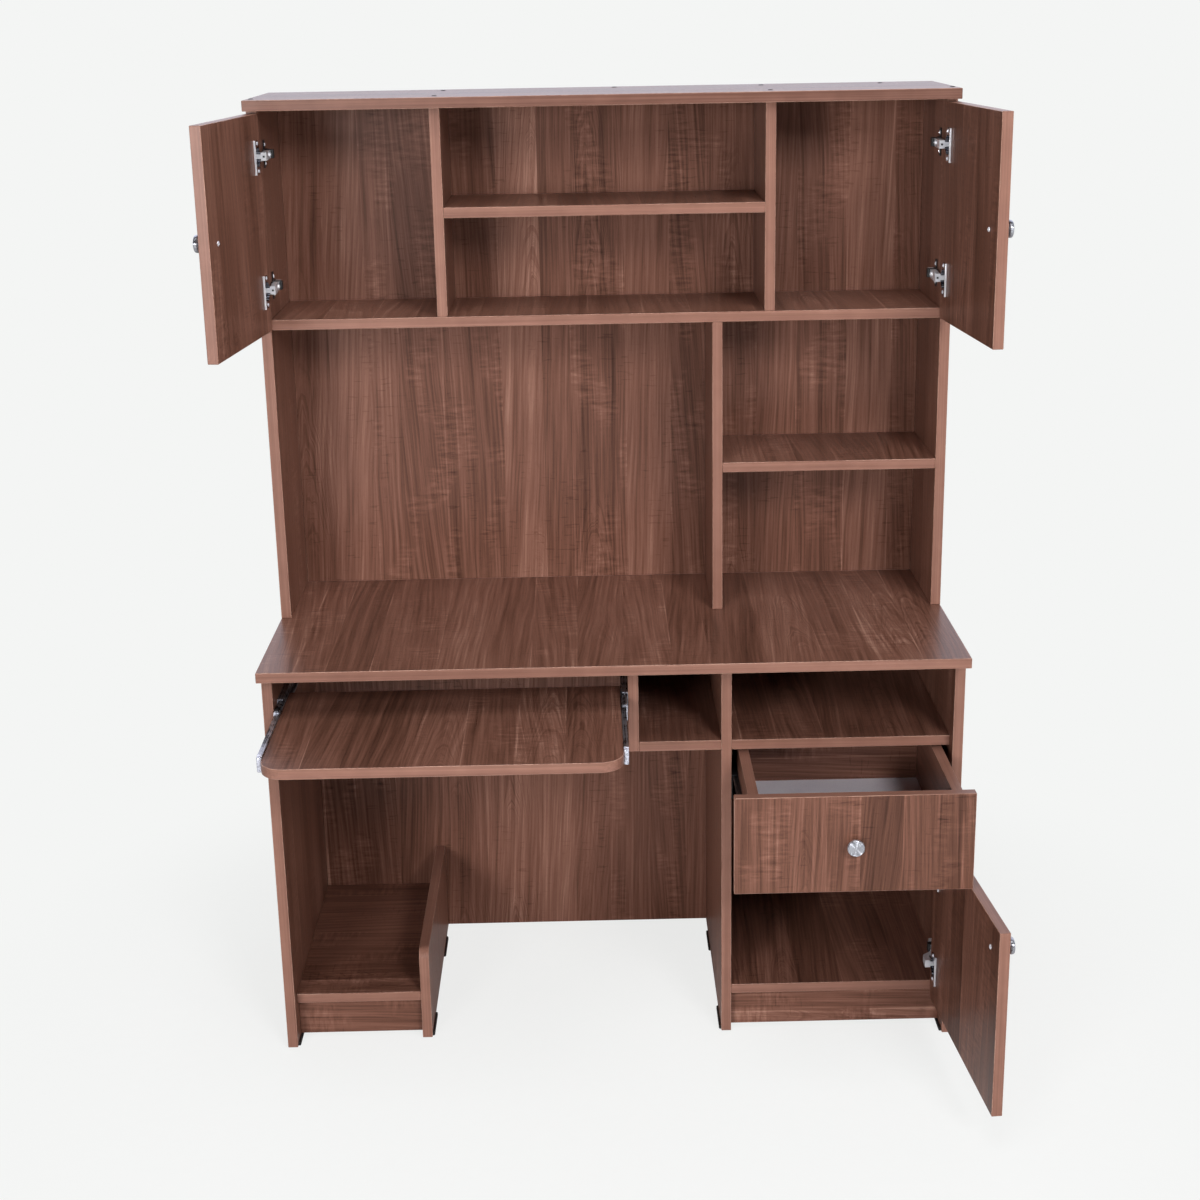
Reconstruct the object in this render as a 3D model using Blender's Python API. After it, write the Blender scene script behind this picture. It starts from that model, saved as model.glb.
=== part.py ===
"""Study desk with a hutch, in laminated board.

The desk stands on its own: a desktop on two outer sides, a tower bay on the left, a cubby and a
pedestal with a drawer and a cupboard on the right, and a keyboard tray on telescopic slides between
them. The hutch on top has two door cabinets, an open middle bay and two open lower bays.

Units are metres and +Z is up. Pieces are laid out in desk coordinates: x = 0 is the middle of the
desk, y = 0 is the front edge of the desktop with +Y towards the back, z = 0 is the ground. The empty
called desk then moves everything so that the origin lies under the middle of the whole object.
"""

import math

import bmesh
import bpy
from mathutils import Matrix, Vector

# Overall sizes
DESK_WIDTH = 1.220
DESK_DEPTH = 0.560
DESK_HEIGHT = 0.750
BOARD = 0.018
FIT = 0.0003
EDGE_ROUND = 0.0008

# Uprights under the desktop
SIDE_SETBACK = 0.049
FRONT_RECESS = 0.025
MODESTY_INSET = 0.015
FLOOR_GAP = 0.004
CPU_BAY_WIDTH = 0.227
CPU_DIVIDER_HEIGHT = 0.182
CPU_DIVIDER_RADIUS = 0.020
PEDESTAL_WIDTH = 0.3865
CUBBY_WIDTH = 0.1455

# Shelves and plinths under the desktop
OPEN_SHELF_CLEAR = 0.151
FLOOR_SHELF_TOP = 0.099
PLINTH_SETBACK = 0.018
PLINTH_GAP = 0.009

# Plastic shoes under the uprights
SHOE_LENGTH = 0.075
SHOE_HEIGHT = 0.008
SHOE_LIP = 0.0035
SHOE_INSET = 0.012
SHOE_REAR_INSET = 0.060
SHOE_SIDE_INSET = 0.001
SHOE_ROUND = 0.0015

# Hutch
HUTCH_HEIGHT = 0.930
HUTCH_DEPTH = 0.256
HUTCH_TOP_OVERHANG = 0.038
HUTCH_BACK_INSET = 0.009
HUTCH_CABINET_WIDTH = 0.294
HUTCH_DECK_RISE = 0.552
HUTCH_MIDDLE_SHELF_RISE = 0.190
HUTCH_LOWER_SHELF_RISE = 0.278

# Doors and drawer front
DOOR_CLOSED_GAP = 0.0019
DOOR_EDGE_REVEAL = 0.0015
DOOR_TOP_GAP = 0.0045
DOOR_BOTTOM_REVEAL = 0.001
FRONT_SIDE_GAP = 0.002
FRONT_REVEAL = 0.0035
FRONT_GAP = 0.003
DOOR_DROP = 0.012
UPPER_LEFT_DOOR_OPEN = math.radians(96.4)
UPPER_RIGHT_DOOR_OPEN = math.radians(94.8)
PEDESTAL_DOOR_OPEN = math.radians(94.7)

# Concealed hinges
HINGE_END_DISTANCE = 0.072
HINGE_PIN_EDGE = 0.007
HINGE_PIN_DEPTH = 0.0125
HINGE_PIN_RADIUS = 0.0011
HINGE_PIN_CLEARANCE = 0.0001
KNUCKLE_WALL = 0.001
KNUCKLE_WIDTH = 0.008
CUP_RADIUS = 0.0175
CUP_EDGE = 0.003
CUP_DEPTH = 0.0158
CUP_WALL = 0.0006
FLANGE_LENGTH = 0.058
FLANGE_WIDTH = 0.022
FLANGE_THICKNESS = 0.001
ARM_WIDTH = 0.014
ARM_HEIGHT = 0.0095
ARM_TAIL_HALF_HEIGHT = 0.0013
ARM_TAIL_DROP = 0.0010
ARM_SWING_CLEARANCE = 0.0006
ARM_PLATE_SETBACK = 0.018
ARM_LENGTH = 0.060
PLATE_THICKNESS = 0.003
PLATE_LENGTH = 0.036
WING_SPAN = 0.048
WING_WIDTH = 0.014
WING_THICKNESS = 0.0018
PLATE_MARGIN = 0.001
PLATE_TAIL = 0.0035

# Knobs
KNOB_RADIUS = 0.0145
KNOB_PROJECTION = 0.026
KNOB_CAP_THICKNESS = 0.009
KNOB_STEM_RADIUS = 0.0052
KNOB_BASE_RADIUS = 0.0080
KNOB_BASE_THICKNESS = 0.003
KNOB_BASE_EASE = 0.0012
KNOB_THROAT_RADIUS = 0.0104
KNOB_THROAT_RISE = 0.003
KNOB_CROWN = 0.0042
KNOB_DOME = 0.0008
KNOB_EDGE_DISTANCE = 0.047

# Drawer
DRAWER_FRONT_HEIGHT = 0.1725
DRAWER_FRONT_GAP = 0.0005
DRAWER_OPEN = 0.232
DRAWER_BOX_LENGTH = 0.400
DRAWER_BOX_HEIGHT = 0.132
DRAWER_BOX_RISE = 0.020
DRAWER_BOTTOM = 0.006
DRAWER_BOTTOM_RISE = 0.007
DRAWER_GROOVE = 0.006
DRAWER_SLIDE_SPACE = 0.0128
DRAWER_SLIDE_HEIGHT = 0.045
DRAWER_SLIDE_LENGTH = 0.395
DRAWER_SLIDE_SETBACK = 0.002

# Keyboard tray
TRAY_DEPTH = 0.360
TRAY_DROP = 0.072
TRAY_PROUD = 0.0095
TRAY_OPEN = 0.250
TRAY_CORNER_RADIUS = 0.040
TRAY_SLIDE_SPACE = 0.0130
TRAY_SLIDE_HEIGHT = 0.035
TRAY_CHANNEL_SETBACK = 0.046
TRAY_CHANNEL_LENGTH = 0.320
TRAY_MIDDLE_LENGTH = 0.250
TRAY_MIDDLE_OPEN = 0.057
TRAY_RAIL_LENGTH = 0.300
TRAY_RAIL_SETBACK = 0.055

# Folded sheet of the slides
SLIDE_SHEET = 0.0012
SLIDE_LIP = 0.0018
SLIDE_RACE = 0.0005
SLIDE_MOUTH = 0.0030
SLIDE_WEB_GAP = 0.0006
BEAD_BASE = 0.0045
BEAD_CREST = 0.0016

# Facets of round shapes
KNOB_FACETS = 28
CUP_FACETS = 32
PIN_FACETS = 16
ARC_STEP = math.radians(9)
CROWN_STEP = math.radians(30)
SMOOTH_ANGLE = math.radians(35)
SHARP_ANGLE = math.radians(40)

# Places that follow from the sizes
HALF_WIDTH = DESK_WIDTH / 2
LEFT_FACE = -HALF_WIDTH + BOARD
RIGHT_FACE = HALF_WIDTH - BOARD
DESK_UNDERSIDE = DESK_HEIGHT - BOARD
INNER_FRONT = SIDE_SETBACK + FRONT_RECESS
MODESTY_FRONT = DESK_DEPTH - MODESTY_INSET - BOARD
PARTITION_RIGHT = RIGHT_FACE - PEDESTAL_WIDTH
PARTITION_LEFT = PARTITION_RIGHT - BOARD
CUBBY_RIGHT = PARTITION_LEFT - CUBBY_WIDTH
CUBBY_LEFT = CUBBY_RIGHT - BOARD
CPU_DIVIDER_LEFT = LEFT_FACE + CPU_BAY_WIDTH
CPU_DIVIDER_RIGHT = CPU_DIVIDER_LEFT + BOARD
OPEN_SHELF_TOP = DESK_UNDERSIDE - OPEN_SHELF_CLEAR
PLINTH_FRONT = INNER_FRONT + PLINTH_SETBACK
HUTCH_FRONT = DESK_DEPTH - HUTCH_DEPTH
HUTCH_TOP = DESK_HEIGHT + HUTCH_HEIGHT
HUTCH_UNDERSIDE = HUTCH_TOP - BOARD
HUTCH_BACK_FRONT = DESK_DEPTH - HUTCH_BACK_INSET - BOARD
HUTCH_DECK_TOP = DESK_HEIGHT + HUTCH_DECK_RISE
HUTCH_DECK_UNDERSIDE = HUTCH_DECK_TOP - BOARD
DIVIDER_OUTER = RIGHT_FACE - HUTCH_CABINET_WIDTH
DIVIDER_INNER = DIVIDER_OUTER - BOARD
FRONTS_LEFT = PARTITION_LEFT + FRONT_REVEAL
FRONTS_RIGHT = RIGHT_FACE - FRONT_SIDE_GAP
DRAWER_FRONT_TOP = OPEN_SHELF_TOP - FRONT_REVEAL
DRAWER_FRONT_BOTTOM = DRAWER_FRONT_TOP - DRAWER_FRONT_HEIGHT
PEDESTAL_DOOR_TOP = DRAWER_FRONT_BOTTOM - FRONT_GAP
PEDESTAL_DOOR_BOTTOM = FLOOR_SHELF_TOP - BOARD - DOOR_DROP
TRAY_TOP = DESK_UNDERSIDE - TRAY_DROP
KNUCKLE_RADIUS = HINGE_PIN_RADIUS + HINGE_PIN_CLEARANCE + KNUCKLE_WALL
CUP_CENTRE_EDGE = CUP_EDGE + CUP_RADIUS


class Body:
    """A group of pieces that moves as one, hung on an empty at its joint's axis."""

    def __init__(self, name, origin=(0, 0, 0), parent=None, turn=0.0, shift=(0, 0, 0)):
        self.origin = Vector(origin)
        self.empty = bpy.data.objects.new(name, None)
        self.empty.empty_display_size = 0.05
        bpy.context.collection.objects.link(self.empty)
        if parent is not None:
            self.empty.parent = parent.empty
            self.empty.location = self.origin - parent.origin + Vector(shift)
        self.empty.rotation_euler = (0, 0, turn)

    def add(self, name, mesh, centre, finish):
        """Hang a mesh on this body, with its own origin at centre in desk coordinates."""
        piece = bpy.data.objects.new(name, mesh)
        bpy.context.collection.objects.link(piece)
        piece.parent = self.empty
        piece.location = Vector(centre) - self.origin
        mesh.materials.clear()
        mesh.materials.append(finish)
        return piece


def finish(name, colour, roughness, metallic=0.0):
    """A plain Principled material."""
    made = bpy.data.materials.new(name)
    made.use_nodes = True
    shader = made.node_tree.nodes["Principled BSDF"]
    shader.inputs["Base Color"].default_value = (*colour, 1.0)
    shader.inputs["Roughness"].default_value = roughness
    shader.inputs["Metallic"].default_value = metallic
    return made


def mesh_from(work, name, smooth=False):
    """Turn a bmesh into a mesh with its faces pointing out."""
    bmesh.ops.recalc_face_normals(work, faces=work.faces)
    made = bpy.data.meshes.new(name)
    work.to_mesh(made)
    work.free()
    if smooth:
        made.shade_smooth()
        made.set_sharp_from_angle(angle=SMOOTH_ANGLE)
    return made


def block_mesh(size, rounding=EDGE_ROUND):
    """A block centred on its origin, with every edge eased."""
    work = bmesh.new()
    bmesh.ops.create_cube(work, size=1.0, matrix=Matrix.Diagonal((*size, 1.0)))
    bmesh.ops.bevel(work, geom=work.edges[:], offset=rounding, segments=1, affect="EDGES")
    return mesh_from(work, "block")


def prism_mesh(outline, axis, start, end, rounding=0.0):
    """An outline of two coordinates swept along the third: X takes (y, z), Y takes (x, z), Z takes (x, y)."""

    def place(a, b, c):
        return {"X": (c, a, b), "Y": (a, c, b), "Z": (a, b, c)}[axis]

    work = bmesh.new()
    rim = [work.verts.new(place(a, b, start)) for a, b in outline]
    base = work.faces.new(rim)
    swept = bmesh.ops.extrude_face_region(work, geom=[base])
    far_rim = [item for item in swept["geom"] if isinstance(item, bmesh.types.BMVert)]
    bmesh.ops.translate(work, verts=far_rim, vec=place(0, 0, end - start))
    if rounding:
        bmesh.ops.recalc_face_normals(work, faces=work.faces)
        sharp = [edge for edge in work.edges if edge.calc_face_angle(0.0) > SHARP_ANGLE]
        bmesh.ops.bevel(work, geom=sharp, offset=rounding, segments=1, affect="EDGES")
    return mesh_from(work, "prism")


def turned_mesh(profile, facets, name="turned"):
    """A profile of (radius, height) points turned about Z; the first and last radius are 0."""
    work = bmesh.new()
    chain = [work.verts.new((radius, 0, height)) for radius, height in profile]
    edges = [work.edges.new(pair) for pair in zip(chain, chain[1:])]
    bmesh.ops.spin(work, geom=chain + edges, cent=(0, 0, 0), axis=(0, 0, 1), angle=math.tau, steps=facets)
    bmesh.ops.remove_doubles(work, verts=work.verts, dist=1e-6)
    return mesh_from(work, name, smooth=True)


def rod_mesh(radius, start, end, facets, axis="Z"):
    """A round rod along Z or Y, from start to end."""
    work = bmesh.new()
    turn = Matrix.Rotation(-math.pi / 2, 4, "X") if axis == "Y" else Matrix()
    place = turn @ Matrix.Translation((0, 0, (start + end) / 2))
    length = end - start
    bmesh.ops.create_cone(
        work, cap_ends=True, segments=facets, radius1=radius, radius2=radius, depth=length, matrix=place
    )
    return mesh_from(work, "rod", smooth=True)


def moved(mesh, offset):
    """A copy of a mesh, shifted."""
    copy = mesh.copy()
    copy.transform(Matrix.Translation(Vector(offset)))
    return copy


def block_between(x, y, z):
    """A block between two limits along each axis."""
    size = (x[1] - x[0], y[1] - y[0], z[1] - z[0])
    return moved(block_mesh(size, EDGE_ROUND / 2), ((x[0] + x[1]) / 2, (y[0] + y[1]) / 2, (z[0] + z[1]) / 2))


def combined(mesh, tool, operation):
    """One mesh cut by, or joined with, another."""
    holder = bpy.data.objects.new("holder", mesh)
    cutter = bpy.data.objects.new("cutter", tool)
    for temporary in (holder, cutter):
        bpy.context.collection.objects.link(temporary)
    step = holder.modifiers.new("combine", "BOOLEAN")
    step.operation = operation
    step.object = cutter
    graph = bpy.context.evaluated_depsgraph_get()
    made = bpy.data.meshes.new_from_object(holder.evaluated_get(graph))
    for temporary in (holder, cutter):
        bpy.data.objects.remove(temporary)
    return made


def joined(mesh, tool):
    """The union of two meshes."""
    return combined(mesh, tool, "UNION")


def cut(mesh, tool):
    """The first mesh without the second."""
    return combined(mesh, tool, "DIFFERENCE")


def arc(centre, radius, start, end):
    """Points along an arc from start to end, both included."""
    count = max(2, math.ceil(abs(end - start) / ARC_STEP))
    angles = [start + (end - start) * step / count for step in range(count + 1)]
    return [(centre[0] + radius * math.cos(angle), centre[1] + radius * math.sin(angle)) for angle in angles]


def ribbon(path, wall):
    """The outline of a folded sheet: a path with square bends, thickened evenly to both sides."""
    points = [Vector(point) for point in path]
    runs = [(after - before).normalized() for before, after in zip(points, points[1:])]
    near, far = [], []
    for index, point in enumerate(points):
        before = runs[max(index - 1, 0)]
        after = runs[min(index, len(runs) - 1)]
        across = Vector((-before.y - after.y, before.x + after.x)).normalized()
        reach = wall / 2 / across.dot(Vector((-after.y, after.x)))
        near.append(tuple(point + across * reach))
        far.append(tuple(point - across * reach))
    return near + far[::-1]


def board(body, name, x, y, z, surface):
    """A flat board between two limits along each axis, in desk coordinates."""
    size = (x[1] - x[0], y[1] - y[0], z[1] - z[0])
    centre = ((x[0] + x[1]) / 2, (y[0] + y[1]) / 2, (z[0] + z[1]) / 2)
    return body.add(name, block_mesh(size), centre, surface)


def shoe_mesh(x, lip_side):
    """One plastic shoe under an upright between two x limits, its lip up one face, starting at y = 0."""
    low = x[0] + SHOE_SIDE_INSET - (SHOE_LIP + SHOE_SIDE_INSET if lip_side < 0 else 0)
    high = x[1] - SHOE_SIDE_INSET + (SHOE_LIP + SHOE_SIDE_INSET if lip_side > 0 else 0)
    centre = ((low + high) / 2, SHOE_LENGTH / 2, SHOE_HEIGHT / 2)
    return moved(block_mesh((high - low, SHOE_LENGTH, SHOE_HEIGHT), SHOE_ROUND), centre)


def upright(body, name, x, front, lip_side, surface, outline):
    """A board that stands on edge on two shoes; outline is its (y, z) shape and front its front edge."""
    mesh = prism_mesh(outline, "X", x[0], x[1], EDGE_ROUND)
    for start in (front + SHOE_INSET, MODESTY_FRONT - SHOE_REAR_INSET - SHOE_LENGTH):
        mesh = joined(mesh, moved(shoe_mesh(x, lip_side), (0, start, 0)))
    return body.add(name, mesh, (0, 0, 0), surface)


def rectangle(a, b):
    """Corner points between two limits along each of two axes."""
    return [(a[0], b[0]), (a[1], b[0]), (a[1], b[1]), (a[0], b[1])]


def build_lower_carcass(body, walnut):
    """Desktop, uprights, shelves and plinths."""
    under = (FLOOR_GAP, DESK_UNDERSIDE - FIT)
    deep = (INNER_FRONT, MODESTY_FRONT - FIT)
    side_run = (SIDE_SETBACK, DESK_DEPTH)
    board(body, "desktop", (-HALF_WIDTH, HALF_WIDTH), (0, DESK_DEPTH), (DESK_UNDERSIDE, DESK_HEIGHT), walnut)
    tall = rectangle(side_run, under)
    upright(body, "left_side_panel", (-HALF_WIDTH, LEFT_FACE), side_run[0], 1, walnut, tall)
    upright(body, "right_side_panel", (RIGHT_FACE, HALF_WIDTH), side_run[0], -1, walnut, tall)
    partition = rectangle(deep, under)
    upright(body, "pedestal_partition", (PARTITION_LEFT, PARTITION_RIGHT), deep[0], -1, walnut, partition)
    bend = (INNER_FRONT + CPU_DIVIDER_RADIUS, CPU_DIVIDER_HEIGHT - CPU_DIVIDER_RADIUS)
    low_wall = [(deep[1], CPU_DIVIDER_HEIGHT)]
    low_wall += arc(bend, CPU_DIVIDER_RADIUS, math.pi / 2, math.pi)
    low_wall += [(deep[0], FLOOR_GAP), (deep[1], FLOOR_GAP)]
    upright(body, "cpu_divider", (CPU_DIVIDER_LEFT, CPU_DIVIDER_RIGHT), deep[0], 1, walnut, low_wall)
    across = (LEFT_FACE + FIT, RIGHT_FACE - FIT)
    board(body, "modesty_panel", across, (MODESTY_FRONT, MODESTY_FRONT + BOARD), under, walnut)
    shelf = (OPEN_SHELF_TOP - BOARD, OPEN_SHELF_TOP)
    board(body, "cubby_divider", (CUBBY_LEFT, CUBBY_RIGHT), deep, (shelf[0], under[1]), walnut)
    board(body, "cubby_floor", (CUBBY_RIGHT + FIT, PARTITION_LEFT - FIT), deep, shelf, walnut)
    pedestal = (PARTITION_RIGHT + FIT, RIGHT_FACE - FIT)
    tower = (LEFT_FACE + FIT, CPU_DIVIDER_LEFT - FIT)
    floor = (FLOOR_SHELF_TOP - BOARD, FLOOR_SHELF_TOP)
    plinth = (PLINTH_GAP, floor[0] - FIT)
    plinth_run = (PLINTH_FRONT, PLINTH_FRONT + BOARD)
    board(body, "pedestal_shelf", pedestal, deep, shelf, walnut)
    board(body, "pedestal_floor", pedestal, deep, floor, walnut)
    board(body, "pedestal_plinth", pedestal, plinth_run, plinth, walnut)
    board(body, "cpu_floor", tower, deep, floor, walnut)
    board(body, "cpu_plinth", tower, plinth_run, plinth, walnut)


def build_hutch(body, walnut):
    """The shelf unit that stands on the back of the desktop."""
    tall = (DESK_HEIGHT + FIT, HUTCH_UNDERSIDE - FIT)
    deep = (HUTCH_FRONT, DESK_DEPTH)
    inside = (HUTCH_FRONT, HUTCH_BACK_FRONT - FIT)
    across = (LEFT_FACE + FIT, RIGHT_FACE - FIT)
    top_run = (HUTCH_FRONT - HUTCH_TOP_OVERHANG, DESK_DEPTH)
    board(body, "hutch_top", (-HALF_WIDTH, HALF_WIDTH), top_run, (HUTCH_UNDERSIDE, HUTCH_TOP), walnut)
    board(body, "hutch_left_side", (-HALF_WIDTH, LEFT_FACE), deep, tall, walnut)
    board(body, "hutch_right_side", (RIGHT_FACE, HALF_WIDTH), deep, tall, walnut)
    board(body, "hutch_back", across, (HUTCH_BACK_FRONT, HUTCH_BACK_FRONT + BOARD), tall, walnut)
    board(body, "hutch_deck", across, inside, (HUTCH_DECK_UNDERSIDE, HUTCH_DECK_TOP), walnut)
    upper = (HUTCH_DECK_TOP + FIT, tall[1])
    board(body, "hutch_left_divider", (-DIVIDER_OUTER, -DIVIDER_INNER), inside, upper, walnut)
    board(body, "hutch_right_divider", (DIVIDER_INNER, DIVIDER_OUTER), inside, upper, walnut)
    middle_top = HUTCH_DECK_TOP + HUTCH_MIDDLE_SHELF_RISE
    middle = (-DIVIDER_INNER + FIT, DIVIDER_INNER - FIT)
    board(body, "hutch_middle_shelf", middle, inside, (middle_top - BOARD, middle_top), walnut)
    lower = (tall[0], HUTCH_DECK_UNDERSIDE - FIT)
    board(body, "hutch_lower_divider", (PARTITION_LEFT, PARTITION_RIGHT), inside, lower, walnut)
    lower_top = DESK_HEIGHT + HUTCH_LOWER_SHELF_RISE
    bay = (PARTITION_RIGHT + FIT, RIGHT_FACE - FIT)
    board(body, "hutch_lower_shelf", bay, inside, (lower_top - BOARD, lower_top), walnut)


def knob_mesh():
    """A mushroom knob whose foot is at the origin and whose cap points to -Y."""
    cap_back = KNOB_PROJECTION - KNOB_CAP_THICKNESS
    rim = KNOB_PROJECTION - KNOB_DOME - KNOB_CROWN
    profile = [(0, 0), (KNOB_BASE_RADIUS, 0), (KNOB_BASE_RADIUS, KNOB_BASE_THICKNESS - KNOB_BASE_EASE)]
    profile += [(KNOB_STEM_RADIUS, KNOB_BASE_THICKNESS), (KNOB_STEM_RADIUS, cap_back - KNOB_THROAT_RISE)]
    profile += [(KNOB_THROAT_RADIUS, cap_back), (KNOB_RADIUS, rim)]
    for step in (1, 2, 3):
        angle = CROWN_STEP * step
        profile.append((KNOB_RADIUS - KNOB_CROWN * (1 - math.cos(angle)), rim + KNOB_CROWN * math.sin(angle)))
    profile.append((0, KNOB_PROJECTION))
    mesh = turned_mesh(profile, KNOB_FACETS, "knob")
    mesh.transform(Matrix.Rotation(math.pi / 2, 4, "X"))
    return mesh


def hinge_cup_mesh(inward):
    """Cup, flange and pin of a concealed hinge, about the pin axis of a closed door.

    The door's inner face lies at y = HINGE_PIN_DEPTH, and inward is +1 or -1, the side along X on
    which the door lies.
    """
    centre = inward * (CUP_CENTRE_EDGE - HINGE_PIN_EDGE)
    face = HINGE_PIN_DEPTH
    radius = CUP_RADIUS - FIT
    half = FLANGE_WIDTH / 2
    straight = FLANGE_LENGTH / 2 - half
    plate = arc((centre, straight), half, 0, math.pi) + arc((centre, -straight), half, math.pi, math.tau)
    mesh = prism_mesh(plate, "Y", face + FIT, face + FIT + FLANGE_THICKNESS)
    shell = rod_mesh(radius, face - CUP_DEPTH, face + FIT + FLANGE_THICKNESS, CUP_FACETS, "Y")
    mesh = joined(mesh, moved(shell, (centre, 0, 0)))
    hollow_end = face + FIT + 2 * FLANGE_THICKNESS
    hollow = rod_mesh(radius - CUP_WALL, face - CUP_DEPTH + CUP_WALL, hollow_end, CUP_FACETS, "Y")
    pin = rod_mesh(HINGE_PIN_RADIUS, -radius, radius, PIN_FACETS)
    return cut(mesh, cut(moved(hollow, (centre, 0, 0)), pin))


def hinge_arm_mesh(inward, panel_face, panel_front):
    """Arm, mounting plate and knuckle of a concealed hinge, about the pin axis.

    panel_face is the x of the panel that carries the plate, measured from the pin towards the
    door's free edge, and panel_front is the y of that opening's front plane.
    """
    sweep = math.hypot(HINGE_PIN_EDGE, HINGE_PIN_DEPTH)
    bend_near = sweep + ARM_SWING_CLEARANCE
    bend_far = bend_near + ARM_HEIGHT
    base_near = panel_face + FIT + PLATE_THICKNESS / 2
    base_far = panel_face + FIT + PLATE_THICKNESS + ARM_HEIGHT
    tail = (-ARM_TAIL_DROP - ARM_TAIL_HALF_HEIGHT, -ARM_TAIL_DROP + ARM_TAIL_HALF_HEIGHT)
    crank_front = sweep + 2 * ARM_SWING_CLEARANCE
    crank_back = panel_front + ARM_PLATE_SETBACK
    rear = panel_front + ARM_PLATE_SETBACK + ARM_LENGTH - ARM_HEIGHT
    side = [(bend_near, tail[0]), (bend_far, tail[0]), (bend_far, crank_front + ARM_HEIGHT / 2)]
    side += [(base_far, crank_back + ARM_HEIGHT / 2), (base_far, rear), (base_near, rear)]
    side += [(base_near, crank_back), (bend_near, crank_front)]
    half = ARM_WIDTH / 2
    mesh = prism_mesh([(inward * a, b) for a, b in side], "Z", -half, half)
    neck = KNUCKLE_WIDTH / 2
    lug = rectangle((0, inward * (bend_near + ARM_HEIGHT / 2)), tail)
    mesh = joined(mesh, prism_mesh(lug, "Z", -neck, neck))
    mesh = joined(mesh, rod_mesh(KNUCKLE_RADIUS, -neck, neck, PIN_FACETS * 2))
    plate_x = sorted((inward * (panel_face + FIT), inward * (panel_face + FIT + PLATE_THICKNESS)))
    plate_run = (rear - PLATE_LENGTH, rear + PLATE_TAIL)
    mesh = joined(mesh, block_between(plate_x, plate_run, (-half - PLATE_MARGIN, half + PLATE_MARGIN)))
    wing_middle = rear - PLATE_LENGTH / 2
    wing_run = (wing_middle - WING_WIDTH / 2, wing_middle + WING_WIDTH / 2)
    wing_x = sorted((inward * (panel_face + FIT), inward * (panel_face + FIT + WING_THICKNESS)))
    mesh = joined(mesh, block_between(wing_x, wing_run, (-WING_SPAN / 2, WING_SPAN / 2)))
    return cut(mesh, rod_mesh(HINGE_PIN_RADIUS + HINGE_PIN_CLEARANCE, -neck * 2, neck * 2, PIN_FACETS * 2))


def build_door(carcass, name, x, z, planes, opened, knob_at, finishes):
    """A door with its two hinges and knob, modelled closed and then swung open about its pins.

    x runs from the hinge edge to the free edge, so its order gives the hand of the door. planes are
    the y of the opening's front and the x of the upright that carries the hinges. knob_at is the
    knob's height.
    """
    walnut, steel, chrome = finishes
    front_plane, panel_face = planes
    inward = 1 if x[1] > x[0] else -1
    inner_face = front_plane - DOOR_CLOSED_GAP
    axis = (x[0] + inward * HINGE_PIN_EDGE, inner_face - HINGE_PIN_DEPTH, 0)
    body = Body(name, axis, carcass, turn=-inward * opened)
    left, right = sorted(x)
    size = (right - left, BOARD, z[1] - z[0])
    panel = moved(block_mesh(size), ((left + right) / 2, inner_face - BOARD / 2, (z[0] + z[1]) / 2))
    heights = {"lower": z[0] + HINGE_END_DISTANCE, "upper": z[1] - HINGE_END_DISTANCE}
    cup_x = x[0] + inward * CUP_CENTRE_EDGE
    for height in heights.values():
        bore = rod_mesh(CUP_RADIUS, -CUP_DEPTH - FIT, CUP_DEPTH, CUP_FACETS, "Y")
        panel = cut(panel, moved(bore, (cup_x, inner_face, height)))
    body.add(name + "_panel", moved(panel, -body.origin), body.origin, walnut)
    reach = inward * (panel_face - axis[0])
    for place, height in heights.items():
        at_pin = (axis[0], axis[1], height)
        body.add(f"{name}_{place}_hinge_cup", hinge_cup_mesh(inward), at_pin, steel)
        arm = hinge_arm_mesh(inward, reach, front_plane - axis[1])
        carcass.add(f"{name}_{place}_hinge_arm", arm, at_pin, steel)
    knob_x = x[1] - inward * KNOB_EDGE_DISTANCE
    body.add(name + "_knob", knob_mesh(), (knob_x, inner_face - BOARD - FIT, knob_at), chrome)
    return body


def channel_path(depth, height):
    """The folded path of a slide channel, its web at x = 0 and its lips turned in."""
    wall = SLIDE_SHEET / 2
    x = depth - wall
    z = height / 2 - wall
    lip = z - SLIDE_LIP - wall
    return [(x, lip), (x, z), (wall, z), (wall, -z), (x, -z), (x, -lip)]


def rail_path(depth, height, bead_at):
    """The folded path of a slide member that runs inside another, with beads that fill the ball races.

    bead_at is how far the beads lie from the outside of the web.
    """
    wall = SLIDE_SHEET / 2
    x = depth - wall
    z = height / 2 - wall
    crest = z + SLIDE_LIP
    top = [(x, z), (bead_at + BEAD_BASE / 2, z), (bead_at + BEAD_CREST / 2, crest)]
    top += [(bead_at - BEAD_CREST / 2, crest), (bead_at - BEAD_BASE / 2, z), (wall, z)]
    return top + [(a, -b) for a, b in reversed(top)]


def plain_path(depth, height):
    """The folded path of a plain slide member, its web at x = 0."""
    wall = SLIDE_SHEET / 2
    x = depth - wall
    z = height / 2 - wall
    return [(x, z), (wall, z), (wall, -z), (x, -z)]


def slide_member(body, name, path, web_x, side, y, z, surface):
    """A folded slide member: web_x is where its web starts, side the way along X that it opens."""
    outline = [(web_x + side * a, z + b) for a, b in ribbon(path, SLIDE_SHEET)]
    mesh = prism_mesh(outline, "Y", y[0], y[1])
    return body.add(name, moved(mesh, -body.origin), body.origin, surface)


def inner_height(height):
    """Outside height, without beads, of the member that runs in a channel of this height."""
    return height - 2 * (SLIDE_SHEET + SLIDE_LIP + SLIDE_RACE)


def race_middle(space):
    """How far the ball races lie from the panel that carries a channel, for a gap of this width."""
    return FIT + (space - SLIDE_MOUTH) / 2


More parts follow.
